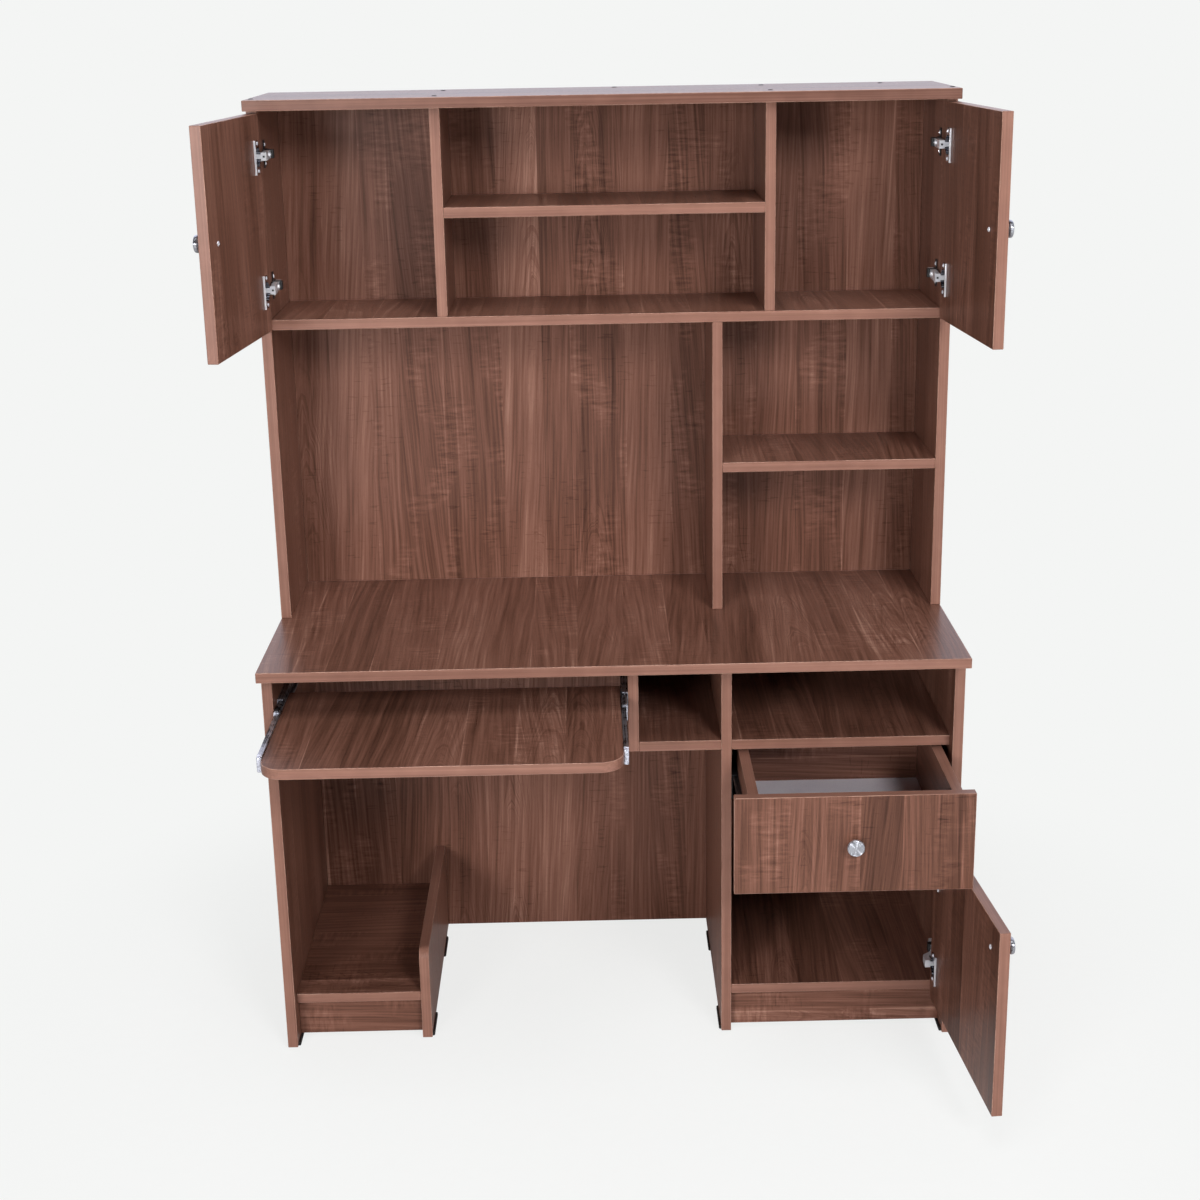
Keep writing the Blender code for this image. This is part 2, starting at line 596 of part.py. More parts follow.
def build_drawer(carcass, finishes):
    """Drawer box, front, knob and side slides."""
    walnut, white, zinc, chrome = finishes
    body = Body("drawer", (0, 0, 0), carcass, shift=(0, -DRAWER_OPEN, 0))
    front = (INNER_FRONT - DRAWER_FRONT_GAP - BOARD, INNER_FRONT - DRAWER_FRONT_GAP)
    z_front = (DRAWER_FRONT_BOTTOM, DRAWER_FRONT_TOP)
    board(body, "drawer_front", (FRONTS_LEFT, FRONTS_RIGHT), front, z_front, walnut)
    middle = (FRONTS_LEFT + FRONTS_RIGHT) / 2
    knob_z = (z_front[0] + z_front[1]) / 2
    body.add("drawer_knob", knob_mesh(), (middle, front[0] - FIT, knob_z), chrome)
    run = (front[1] + FIT, front[1] + FIT + DRAWER_BOX_LENGTH)
    box_z = (DRAWER_FRONT_BOTTOM + DRAWER_BOX_RISE, DRAWER_FRONT_BOTTOM + DRAWER_BOX_RISE + DRAWER_BOX_HEIGHT)
    outer = (PARTITION_RIGHT + DRAWER_SLIDE_SPACE, RIGHT_FACE - DRAWER_SLIDE_SPACE)
    inner = (outer[0] + BOARD, outer[1] - BOARD)
    bottom_z = (box_z[0] + DRAWER_BOTTOM_RISE, box_z[0] + DRAWER_BOTTOM_RISE + DRAWER_BOTTOM)
    groove_z = (bottom_z[0] - FIT, bottom_z[1] + FIT)
    groove_run = (run[0] - BOARD, run[1] + BOARD)
    walls = {"left": (outer[0], inner[0], 1), "right": (outer[1], inner[1], -1)}
    for side, (outside, inside, inward) in walls.items():
        x = sorted((outside, inside))
        wall = block_between(x, run, box_z)
        groove_x = sorted((inside - inward * DRAWER_GROOVE, inside + inward * BOARD))
        wall = cut(wall, block_between(groove_x, groove_run, groove_z))
        body.add(f"drawer_{side}_side", wall, (0, 0, 0), walnut)
    back_x = (inner[0] + FIT, inner[1] - FIT)
    board(body, "drawer_back", back_x, (run[1] - BOARD, run[1]), (groove_z[1], box_z[1]), walnut)
    bottom_x = (inner[0] - DRAWER_GROOVE + FIT, inner[1] + DRAWER_GROOVE - FIT)
    board(body, "drawer_bottom", bottom_x, run, bottom_z, white)
    slide_z = (box_z[0] + box_z[1]) / 2
    channel_front = INNER_FRONT + DRAWER_SLIDE_SETBACK
    channel_run = (channel_front, channel_front + DRAWER_SLIDE_LENGTH)
    channel = channel_path(DRAWER_SLIDE_SPACE - SLIDE_MOUTH, DRAWER_SLIDE_HEIGHT)
    rail_depth = DRAWER_SLIDE_SPACE - 2 * FIT - SLIDE_SHEET - SLIDE_WEB_GAP
    bead_at = DRAWER_SLIDE_SPACE - FIT - race_middle(DRAWER_SLIDE_SPACE)
    rail = rail_path(rail_depth, inner_height(DRAWER_SLIDE_HEIGHT), bead_at)
    sides = (("left", PARTITION_RIGHT, outer[0], 1), ("right", RIGHT_FACE, outer[1], -1))
    for side, panel, wall, way in sides:
        name = f"drawer_slide_{side}"
        slide_member(carcass, name + "_channel", channel, panel + way * FIT, way, channel_run, slide_z, zinc)
        slide_member(body, name + "_rail", rail, wall - way * FIT, -way, channel_run, slide_z, zinc)
    return body


def build_tray(carcass, finishes):
    """Keyboard tray on three-part telescopic slides."""
    walnut, zinc = finishes
    body = Body("keyboard_tray", (0, 0, 0), carcass, shift=(0, -TRAY_OPEN, 0))
    middles = Body("tray_slide_middles", (0, 0, 0), carcass, shift=(0, -TRAY_MIDDLE_OPEN, 0))
    x = (LEFT_FACE + TRAY_SLIDE_SPACE, CUBBY_LEFT - TRAY_SLIDE_SPACE)
    y = (SIDE_SETBACK - TRAY_PROUD, SIDE_SETBACK - TRAY_PROUD + TRAY_DEPTH)
    radius = TRAY_CORNER_RADIUS
    outline = [(x[1], y[1]), (x[0], y[1])]
    outline += arc((x[0] + radius, y[0] + radius), radius, math.pi, 1.5 * math.pi)
    outline += arc((x[1] - radius, y[0] + radius), radius, 1.5 * math.pi, math.tau)
    tray = prism_mesh(outline, "Z", TRAY_TOP - BOARD, TRAY_TOP, EDGE_ROUND)
    body.add("keyboard_tray_board", tray, (0, 0, 0), walnut)
    height = TRAY_SLIDE_HEIGHT
    z = TRAY_TOP - BOARD / 2
    channel_front = SIDE_SETBACK + TRAY_CHANNEL_SETBACK
    channel_run = (channel_front, channel_front + TRAY_CHANNEL_LENGTH)
    middle_run = (channel_front, channel_front + TRAY_MIDDLE_LENGTH)
    rail_run = (y[0] + TRAY_RAIL_SETBACK, y[0] + TRAY_RAIL_SETBACK + TRAY_RAIL_LENGTH)
    channel = channel_path(TRAY_SLIDE_SPACE - SLIDE_MOUTH, height)
    middle_web = FIT + SLIDE_SHEET + SLIDE_WEB_GAP
    middle_height = inner_height(height)
    middle_depth = TRAY_SLIDE_SPACE - SLIDE_MOUTH / 2 - middle_web
    races = race_middle(TRAY_SLIDE_SPACE)
    middle = rail_path(middle_depth, middle_height, races - middle_web)
    rail_depth = TRAY_SLIDE_SPACE - FIT - middle_web - SLIDE_SHEET - SLIDE_WEB_GAP
    rail_height = middle_height - 2 * (SLIDE_SHEET + SLIDE_RACE)
    rail = plain_path(rail_depth, rail_height)
    for side, panel, edge, way in (("left", LEFT_FACE, x[0], 1), ("right", CUBBY_LEFT, x[1], -1)):
        name = f"tray_slide_{side}"
        slide_member(carcass, name + "_channel", channel, panel + way * FIT, way, channel_run, z, zinc)
        slide_member(middles, name + "_middle", middle, panel + way * middle_web, way, middle_run, z, zinc)
        slide_member(body, name + "_rail", rail, edge - way * FIT, -way, rail_run, z, zinc)
    return body


def pedestal_door_reach():
    """How far the opened pedestal door reaches in front of the desktop's front edge, as a y."""
    pin_y = INNER_FRONT - DOOR_CLOSED_GAP - HINGE_PIN_DEPTH
    width = FRONTS_RIGHT - FRONTS_LEFT - HINGE_PIN_EDGE
    turned = PEDESTAL_DOOR_OPEN
    return pin_y - width * math.sin(turned) + HINGE_PIN_DEPTH * math.cos(turned)


def main():
    """Build the desk."""
    for leftover in list(bpy.data.objects):
        bpy.data.objects.remove(leftover)
    walnut = finish("walnut_laminate", (0.165, 0.078, 0.056), 0.42)
    white = finish("white_board", (0.80, 0.79, 0.77), 0.50)
    steel = finish("nickel_steel", (0.62, 0.61, 0.59), 0.28, 1.0)
    zinc = finish("zinc_steel", (0.30, 0.31, 0.32), 0.38, 1.0)
    chrome = finish("chrome", (0.80, 0.80, 0.80), 0.10, 1.0)

    middle_y = (pedestal_door_reach() + DESK_DEPTH) / 2
    desk = Body("desk", (0, 0, 0))
    desk.empty.location = (0, -middle_y, 0)
    carcass = Body("carcass", (0, 0, 0), desk)
    build_lower_carcass(carcass, walnut)
    build_hutch(carcass, walnut)

    fittings = (walnut, steel, chrome)
    upper_z = (HUTCH_DECK_UNDERSIDE + DOOR_BOTTOM_REVEAL, HUTCH_UNDERSIDE - DOOR_TOP_GAP)
    upper_knob = (upper_z[0] + upper_z[1]) / 2
    hinge_edge = HALF_WIDTH - DOOR_EDGE_REVEAL
    free_edge = DIVIDER_INNER + DOOR_EDGE_REVEAL
    for name, side, opened in (
        ("upper_left_door", -1, UPPER_LEFT_DOOR_OPEN),
        ("upper_right_door", 1, UPPER_RIGHT_DOOR_OPEN),
    ):
        edges = (side * hinge_edge, side * free_edge)
        planes = (HUTCH_FRONT, side * RIGHT_FACE)
        build_door(carcass, name, edges, upper_z, planes, opened, upper_knob, fittings)
    lower_z = (PEDESTAL_DOOR_BOTTOM, PEDESTAL_DOOR_TOP)
    lower_knob = PEDESTAL_DOOR_TOP - KNOB_EDGE_DISTANCE
    edges = (FRONTS_RIGHT, FRONTS_LEFT)
    planes = (INNER_FRONT, RIGHT_FACE)
    build_door(carcass, "pedestal_door", edges, lower_z, planes, PEDESTAL_DOOR_OPEN, lower_knob, fittings)

    build_drawer(carcass, (walnut, white, zinc, chrome))
    build_tray(carcass, (walnut, zinc))


main()
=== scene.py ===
"""Looks of the study desk: walnut laminate, banded edges, metal fittings and a plain studio.

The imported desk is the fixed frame. This script dresses its boards and fittings, adds the small
fixings that ride on them, and sets up the floor, the lamps and the camera. Sizes are metres in the
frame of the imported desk: +Z is up, the front of the desk looks along -Y, the floor is at z = 0.
"""

import logging
import math
from collections.abc import Sequence
from dataclasses import dataclass, field, replace
from enum import Enum, IntEnum

import bmesh
import bpy
from mathutils import Color, Matrix, Vector


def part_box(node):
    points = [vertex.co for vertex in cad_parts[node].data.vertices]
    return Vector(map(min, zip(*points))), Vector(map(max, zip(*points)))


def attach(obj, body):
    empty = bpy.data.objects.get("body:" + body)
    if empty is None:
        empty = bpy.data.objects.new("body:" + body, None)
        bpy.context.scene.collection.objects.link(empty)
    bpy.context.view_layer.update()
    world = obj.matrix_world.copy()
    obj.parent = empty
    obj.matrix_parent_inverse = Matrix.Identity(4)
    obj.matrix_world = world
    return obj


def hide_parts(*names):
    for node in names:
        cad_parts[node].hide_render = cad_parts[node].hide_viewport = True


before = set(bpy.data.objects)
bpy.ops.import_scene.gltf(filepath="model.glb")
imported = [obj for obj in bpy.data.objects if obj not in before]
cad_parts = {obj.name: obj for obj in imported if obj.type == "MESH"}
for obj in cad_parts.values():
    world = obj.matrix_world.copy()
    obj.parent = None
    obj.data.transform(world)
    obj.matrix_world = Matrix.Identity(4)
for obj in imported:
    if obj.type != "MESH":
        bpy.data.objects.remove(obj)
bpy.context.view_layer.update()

LOG = logging.getLogger("study_desk")
BYTE_MAX = 255
PERCENT = 100
QUARTERS = 4
MIDDLE = 0.5
SHARP_ANGLE = math.radians(32)
BEVEL_STYLE = {"segments": 3, "profile": 0.5, "affect": "EDGES", "clamp_overlap": True}

Socket = bpy.types.NodeSocket
Value = float | Sequence[float] | Socket
Point = tuple[float, float, float]
Spot = tuple[float, float]
Span = tuple[float, float]
Colour = tuple[int, int, int]
Box = tuple[Vector, Vector]
Stops = Sequence[tuple[float, Colour]]


def linear(colour: Colour) -> tuple[float, float, float, float]:
    """Shader values, with an alpha of 1, of a colour of 0 to 255 values as read off a screen."""
    red, green, blue = Color([byte / BYTE_MAX for byte in colour]).from_srgb_to_scene_linear()
    return (red, green, blue, 1.0)


class Axis(Enum):
    """A direction of a board: where its face looks or its grain runs."""

    X = 0
    Y = 1
    Z = 2

    def other(self, second: "Axis") -> "Axis":
        """The axis square to this one and the second."""
        return next(axis for axis in Axis if axis not in (self, second))


class Slot(Enum):
    """Material slots of the record."""

    NICKEL = "nickel_steel"
    ZINC = "zinc_steel"
    CHROME = "chrome"


class Coat(IntEnum):
    """Places of the finishes among a board's materials. Bands along Y and Z follow the one along X."""

    LAMINATE = 0
    BAND = 1
    PLASTIC = 4
    ARRIS = 5


class Graph:
    """The node tree of a material or of the world."""

    def __init__(self, owner: bpy.types.Material | bpy.types.World) -> None:
        """Open the owner's node tree.

        Args:
            owner: The material or world.
        """
        owner.use_nodes = True
        self.nodes = owner.node_tree.nodes
        self.links = owner.node_tree.links

    def feed(self, socket: Socket, value: Value) -> None:
        """Link a socket to another, or set its value.

        Args:
            socket: The socket that is fed.
            value: What feeds it.
        """
        if isinstance(value, Socket):
            self.links.new(value, socket)
        else:
            socket.default_value = value

    def node(self, kind: str, inputs: dict[str | int, Value], **settings: object) -> bpy.types.Node:
        """Add a node.

        Args:
            kind: The node's type without its ShaderNode prefix.
            inputs: Socket names or numbers with what feeds them.
            **settings: Properties of the node.

        Returns:
            The new node.
        """
        made = self.nodes.new("ShaderNode" + kind)
        for key, setting in settings.items():
            setattr(made, key, setting)
        for socket, value in inputs.items():
            self.feed(made.inputs[socket], value)
        return made

    def surface(self, **inputs: Value) -> None:
        """Feed the Principled shader of a material.

        Args:
            **inputs: Sockets, named with underscores for spaces, with what feeds them.
        """
        shader = self.nodes["Principled BSDF"]
        for name, value in inputs.items():
            self.feed(shader.inputs[name.replace("_", " ")], value)

    def maths(self, operation: str, *values: Value) -> Socket:
        """The result of one sum on numbers."""
        return self.node("Math", dict(enumerate(values)), operation=operation).outputs[0]

    def scaled(self, vector: Socket, factors: Sequence[float]) -> Socket:
        """A vector with each part multiplied."""
        return self.node("VectorMath", {0: vector, 1: factors}, operation="MULTIPLY").outputs[0]

    def mixed(self, share: Value, first: Socket, second: Socket) -> Socket:
        """Two shaders mixed, with that share of the second."""
        return self.node("MixShader", {0: share, 1: first, 2: second}).outputs[0]

    def eased(self, value: Socket, span: Span, ends: Span = (0.0, 1.0)) -> Socket:
        """A smooth step between two ends.

        Args:
            value: What crosses the span.
            span: Where the step starts and stops; it may run downwards.
            ends: The results at its start and at its stop.

        Returns:
            The result.
        """
        if span[0] > span[1]:
            span, ends = span[::-1], ends[::-1]
        inputs = dict(enumerate((value, *span, *ends)))
        return self.node("MapRange", inputs, interpolation_type="SMOOTHSTEP").outputs[0]

    def weighed(self, base: float, terms: Sequence[tuple[Socket, float]]) -> Value:
        """A base value plus each term times its weight.

        Args:
            base: The base value.
            terms: Values with their weights.

        Returns:
            The sum.
        """
        total: Value = base
        for term, weight in terms:
            total = self.maths("MULTIPLY_ADD", term, weight, total)
        return total

    def ramp(self, value: Socket, stops: Stops) -> Socket:
        """A colour looked up along stops.

        Args:
            value: Where along the stops.
            stops: Places from 0 to 1, each with a colour of 0 to 255 values.

        Returns:
            The colour.
        """
        made = self.node("ValToRGB", {0: value})
        marks = made.color_ramp.elements
        while len(marks) < len(stops):
            marks.new(1.0)
        for mark, (place, colour) in zip(marks, stops):
            mark.position = place
            mark.color = linear(colour)
        return made.outputs[0]

    def bump(self, height: Socket, depth: float, strength: float) -> None:
        """Raise the surface by a height of that depth in metres."""
        inputs = {"Height": height, "Distance": depth, "Strength": strength}
        self.surface(Normal=self.node("Bump", inputs).outputs[0])

    def place(self, turn: float = 0.0) -> Socket:
        """Where a point lies on the desk.

        Args:
            turn: Angle by which its board has swung open, which is turned back.

        Returns:
            The place with the board closed.
        """
        spot = self.node("TexCoord", {}).outputs["Object"]
        if turn:
            inputs = {"Vector": spot, "Angle": -turn}
            spot = self.node("VectorRotate", inputs, rotation_type="Z_AXIS").outputs[0]
        return spot


@dataclass(frozen=True)
class Layer:
    """A layer of soft noise in a finish.

    The swells count for each metre along each axis, and the detail is the number of finer layers, of
    that fineness. A window turns the noise into a smooth step. Tone and rough are its weights.
    """

    swells: tuple[float, ...]
    detail: float = 2.0
    fineness: float = 0.5
    tone: float = 0.0
    rough: float = 0.0
    window: Span | None = None

    def read(self, graph: Graph, spot: Socket) -> Socket:
        """The layer at a spot.

        Args:
            graph: The material's graph.
            spot: Place on the sheet or the desk.

        Returns:
            Values round 0.5, or from 0 to 1 with a window.
        """
        scale = self.swells if len(self.swells) == len(Axis) else (*self.swells, 1.0)
        inputs = {"Vector": graph.scaled(spot, scale), "Scale": 1.0}
        inputs |= {"Detail": self.detail, "Roughness": self.fineness}
        value = graph.node("TexNoise", inputs, noise_dimensions=f"{len(self.swells)}D").outputs[0]
        return graph.eased(value, self.window) if self.window else value


@dataclass(frozen=True)
class Finish:
    """A finish that a material of its own is painted with."""

    def build(self, name: str) -> bpy.types.Material:
        """Make a material with the finish.

        Args:
            name: Name of the material.

        Returns:
            The material.
        """
        material = bpy.data.materials.new(name)
        self.paint(Graph(material))
        return material

    def paint(self, graph: Graph) -> None:
        """Add the finish to a material's graph."""
        raise NotImplementedError


@dataclass(frozen=True, kw_only=True)
class Mottled(Finish):
    """A finish of noise layers, which shift its colour and gloss, and of which the last raises it.

    The relief is its depth in metres and its strength. The turn is the angle by which its board has
    swung open.
    """

    stops: Stops
    layers: Sequence[Layer]
    relief: Span
    roughness: float
    tone: float = 0.0
    metallic: float = 0.0
    specular: float = 0.5
    turn: float = 0.0

    def paint(self, graph: Graph) -> None:
        """Lay the layers over each other.

        Args:
            graph: The material's graph.
        """
        spot = graph.place(self.turn)
        values = [layer.read(graph, spot) for layer in self.layers]
        tones = [(value, layer.tone) for value, layer in zip(values, self.layers) if layer.tone]
        roughs = [(value, layer.rough) for value, layer in zip(values, self.layers) if layer.rough]
        graph.surface(Base_Color=graph.ramp(graph.weighed(self.tone, tones), self.stops))
        graph.surface(Roughness=graph.weighed(self.roughness, roughs))
        graph.surface(Metallic=self.metallic, Specular_IOR_Level=self.specular)
        graph.bump(values[-1], *self.relief)


@dataclass(frozen=True)
class Stave:
    """One stave of the print at the point that is shaded, as numbers of a graph.

    The three traits run from 0 to 1 and belong to the whole stave. The places are in stave widths.
    """

    tone: Socket
    kind: Socket
    slant: Socket
    off_middle: Socket
    from_rim: Socket


@dataclass(frozen=True)
class Walnut(Finish):
    """Printed walnut laminate on the face of a board.

    The print shows straight staves side by side, each with its own tone and slant of fibre. Some carry
    pointed arches, some a ripple or short dark dashes across the grain, and thin pale lines part a few.
    Staves and bands count for each metre. Tones are weights in the shade, and kinds are the traits at
    which a figure starts to show and shows in full.
    """

    grain: Axis
    across: Axis
    shift: Spot
    turn: float = 0.0
    tone: float = 0.0
    base_tone: float = -0.43
    base_roughness: float = 0.24
    gloss: float = 0.18
    staves: float = 12.0
    stave_jitter: float = 0.8
    stave_tone: float = 0.24
    stave_jump: Spot = (7.0, 3.0)
    bands: float = 44.0
    band_tone: float = 0.12
    lean: float = 0.14
    sway: Layer = Layer((7.0, 1.8))
    sway_width: float = 0.022
    fibre: Layer = Layer((240.0, 5.0), 3.0, 0.6, tone=0.72, rough=0.16)
    streak: Layer = Layer((90.0, 1.6), 3.0, 0.55, tone=0.56)
    broad: Layer = Layer((2.3, 1.4), tone=0.22)
    pores: Layer = Layer((1000.0, 85.0), 1.0, tone=-0.09, rough=0.10, window=(0.64, 0.76))
    relief: Span = (0.00010, 0.30)
    fibre_rise: float = 0.7
    pore_rise: float = -0.5
    arch_tone: float = 0.60
    arch_kinds: Span = (0.46, 0.58)
    arch_sway: Layer = Layer((18.0, 5.0), 3.0)
    arch_patch: Layer = Layer((1.2, 3.1), window=(0.42, 0.56))
    arch_rings: Layer = Layer((1.0, 1.0), fineness=0.6)
    arch_steps: float = 36.0
    arch_point: float = 62.0
    arch_wander: float = 9.0
    arch_jump: float = 9.0
    arch_line: Span = (0.05, 0.0)
    arch_line_tone: float = 0.22
    ripple_tone: float = 0.66
    ripple_kinds: Span = (0.30, 0.45)
    ripple_waves: Layer = Layer((24.0, 125.0), 3.0, 0.6)
    ripple_patch: Layer = Layer((13.0, 7.0), window=(0.48, 0.60))
    ripple_middle: float = 0.43
    line_tone: float = 0.24
    line_kinds: Span = (0.35, 0.6)
    line_rim: Span = (0.034, 0.012)
    line_breaks: Layer = Layer((11.0, 4.0), window=(0.38, 0.58))
    dash_tone: float = -0.13
    dashes: Layer = Layer((26.0, 200.0), 1.0, window=(0.66, 0.74))
    dash_groups: Layer = Layer((9.0, 4.0), window=(0.50, 0.60))
    stops: Stops = (
        (0.0, (66, 41, 32)),
        (0.3, (101, 67, 54)),
        (0.5, (122, 83, 69)),
        (0.7, (139, 98, 83)),
        (1.0, (176, 134, 117)),
    )

    def paint(self, graph: Graph) -> None:
        """Print the laminate.

        Args:
            graph: The material's graph.
        """
        parts = graph.node("SeparateXYZ", {0: graph.place(self.turn)}).outputs
        u = graph.maths("ADD", parts[self.across.value], self.shift[0])
        w = graph.maths("ADD", parts[self.grain.value], self.shift[1])
        sheet = graph.node("CombineXYZ", {0: u, 1: w}).outputs[0]
        stave = self.stave(graph, u)
        sway = self.sway.read(graph, sheet)
        lean = graph.maths("MULTIPLY", graph.maths("SUBTRACT", stave.slant, MIDDLE), w)
        jump_u, jump_w = self.stave_jump
        bends = [(u, 1.0), (sway, self.sway_width), (stave.tone, jump_u), (lean, self.lean)]
        fibre_u = graph.weighed(0.0, bends)
        fibre_w = graph.maths("MULTIPLY_ADD", stave.kind, jump_w, w)
        strand = graph.node("CombineXYZ", {0: fibre_u, 1: fibre_w}).outputs[0]
        fibre = self.fibre.read(graph, strand)
        pores = self.pores.read(graph, strand)
        terms = [
            (stave.tone, self.stave_tone),
            (self.narrow_bands(graph, fibre_u), self.band_tone),
            (fibre, self.fibre.tone),
            (self.streak.read(graph, strand), self.streak.tone),
            (self.broad.read(graph, sheet), self.broad.tone),
            (self.arches(graph, sheet, fibre_w, stave), self.arch_tone),
            (self.ripple(graph, sheet, stave), self.ripple_tone),
            (self.lines(graph, sheet, stave), self.line_tone),
            (self.marks(graph, sheet), self.dash_tone),
            (pores, self.pores.tone),
        ]
        shade = graph.weighed(self.tone + self.base_tone, terms)
        dull = graph.weighed(self.base_roughness, [(fibre, self.fibre.rough), (pores, self.pores.rough)])
        graph.surface(Base_Color=graph.ramp(shade, self.stops))
        graph.surface(Roughness=dull, Specular_IOR_Level=self.gloss)
        height = graph.weighed(0.0, [(fibre, self.fibre_rise), (pores, self.pore_rise)])
        graph.bump(height, *self.relief)

    def stave(self, graph: Graph, across: Socket) -> Stave:
        """The stave that a point lies on.

        Args:
            graph: The material's graph.
            across: Place across the grain.

        Returns:
            The stave's traits and where on it the point lies.
        """
        rank = graph.maths("MULTIPLY", across, self.staves)
        inputs = {"W": rank, "Scale": 1.0, "Randomness": self.stave_jitter}
        cells = graph.node("TexVoronoi", inputs, voronoi_dimensions="1D").outputs
        rims = graph.node("TexVoronoi", inputs, voronoi_dimensions="1D", feature="DISTANCE_TO_EDGE")
        tone, kind, slant = graph.node("SeparateColor", {0: cells["Color"]}).outputs
        off_middle = graph.maths("SUBTRACT", rank, cells["W"])
        return Stave(tone, kind, slant, off_middle, rims.outputs["Distance"])

    def narrow_bands(self, graph: Graph, across: Socket) -> Socket:
        """Tones of the narrow bands inside the staves.

        Args:
            graph: The material's graph.
            across: Place across the fibre.

        Returns:
            Values from 0 to 1.
        """
        inputs = {"W": graph.maths("MULTIPLY", across, self.bands), "Scale": 1.0}
        cells = graph.node("TexVoronoi", inputs, voronoi_dimensions="1D").outputs
        return graph.node("SeparateColor", {0: cells["Color"]}).outputs[0]

    def arches(self, graph: Graph, sheet: Socket, along: Socket, stave: Stave) -> Socket:
        """Pointed arches up the middle of some staves.

        Args:
            graph: The material's graph.
            sheet: Place on the board.
            along: Place along the stave.
            stave: The stave.

        Returns:
            Values round 0, and 0 on staves without arches.
        """
        sway = self.arch_sway.read(graph, sheet)
        square = graph.maths("MULTIPLY", stave.off_middle, stave.off_middle)
        bends = [(along, self.arch_steps), (square, self.arch_point), (sway, self.arch_wander)]
        phase = graph.weighed(0.0, bends)
        jump = graph.maths("MULTIPLY", stave.tone, self.arch_jump)
        curve = graph.node("CombineXYZ", {0: phase, 1: jump}).outputs[0]
        rings = graph.maths("SUBTRACT", self.arch_rings.read(graph, curve), MIDDLE)
        pale = graph.eased(graph.maths("ABSOLUTE", rings), self.arch_line)
        figure = graph.maths("MULTIPLY_ADD", pale, self.arch_line_tone, rings)
        some = graph.eased(stave.kind, self.arch_kinds)
        mask = graph.maths("MULTIPLY", some, self.arch_patch.read(graph, sheet))
        return graph.maths("MULTIPLY", figure, mask)

    def ripple(self, graph: Graph, sheet: Socket, stave: Stave) -> Socket:
        """Figure across the grain in patches of some staves.

        Args:
            graph: The material's graph.
            sheet: Place on the board.
            stave: The stave.

        Returns:
            Values round 0, and 0 outside the patches.
        """
        some = graph.eased(stave.slant, self.ripple_kinds)
        mask = graph.maths("MULTIPLY", self.ripple_patch.read(graph, sheet), some)
        waves = graph.maths("SUBTRACT", self.ripple_waves.read(graph, sheet), self.ripple_middle)
        return graph.maths("MULTIPLY", waves, mask)

    def lines(self, graph: Graph, sheet: Socket, stave: Stave) -> Socket:
        """Thin pale lines along the rims of some staves, broken here and there.

        Args:
            graph: The material's graph.
            sheet: Place on the board.
            stave: The stave.

        Returns:
            1 on a line and 0 beside it.
        """
        some = graph.eased(stave.slant, self.line_kinds)
        rim = graph.maths("MULTIPLY", graph.eased(stave.from_rim, self.line_rim), some)
        return graph.maths("MULTIPLY", rim, self.line_breaks.read(graph, sheet))

    def marks(self, graph: Graph, sheet: Socket) -> Socket:
        """Short dark dashes across the grain, in loose groups."""
        groups = self.dash_groups.read(graph, sheet)
        return graph.maths("MULTIPLY", self.dashes.read(graph, sheet), groups)


@dataclass(frozen=True)
class EdgeBand(Finish):
    """The paler band glued round a board's edges, with fine and wide lines along it.

    The lines count for each metre of width and swell for each metre of length.
    """

    length: Axis
    turn: float
    tone: float
    base_tone: float = -0.35
    roughness: float = 0.28
    specular: float = 0.3
    relief: Span = (0.00008, 0.25)
    wide: Layer = Layer((120.0, 1.1), 3.0, 0.6, tone=0.58)
    fine: Layer = Layer((400.0, 2.0), 3.0, 0.6, tone=0.80, rough=0.18)
    clouds: Layer = Layer((24.0,) * 3, tone=0.32)
    stops: Stops = (
        (0.0, (103, 68, 56)),
        (0.38, (133, 93, 79)),
        (0.62, (147, 105, 90)),
        (1.0, (174, 130, 112)),
    )

    def drawn(self, lines: Layer) -> Layer:
        """Lines along the band, with their swells put in the order of the desk's axes."""
        across, along = lines.swells
        return replace(lines, swells=tuple(along if axis is self.length else across for axis in Axis))

    def paint(self, graph: Graph) -> None:
        """Band the edge.

        Args:
            graph: The material's graph.
        """
        Mottled(
            stops=self.stops,
            layers=(self.drawn(self.wide), self.clouds, self.drawn(self.fine)),
            relief=self.relief,
            roughness=self.roughness,
            tone=self.base_tone + self.tone,
            specular=self.specular,
            turn=self.turn,
        ).paint(graph)


@dataclass(frozen=True, kw_only=True)
class PaintedArrisHighlight(Mottled):
    """The thin pale corner on a board's rounded arris: a painted highlight where light catches the edge,
    rubbed and nicked in places.
    """

    stops: Stops = ((0.35, (139, 99, 84)), (0.62, (188, 149, 132)))
    layers: Sequence[Layer] = (
        Layer((9.0,) * 3, 3.0, 0.6, tone=0.8),
        Layer((160.0,) * 3, 2.0, 0.6, tone=0.5, rough=0.2),
    )
    relief: Span = (0.00008, 0.3)
    roughness: float = 0.34
    tone: float = -0.15
    specular: float = 0.3


@dataclass(frozen=True, kw_only=True)
class MouldedPlastic(Mottled):
    """Black moulded plastic with a little dust and a fine spark-eroded grain."""

    stops: Stops = ((0.45, (20, 20, 22)), (0.8, (52, 50, 50)))
    layers: Sequence[Layer] = (
        Layer((60.0, 60.0, 160.0), 3.0, 0.6, tone=1.0, rough=0.12),
        Layer((1500.0,) * 3, 2.0, 0.6, rough=0.2),
    )
    relief: Span = (0.00006, 0.4)
    roughness: float = 0.34


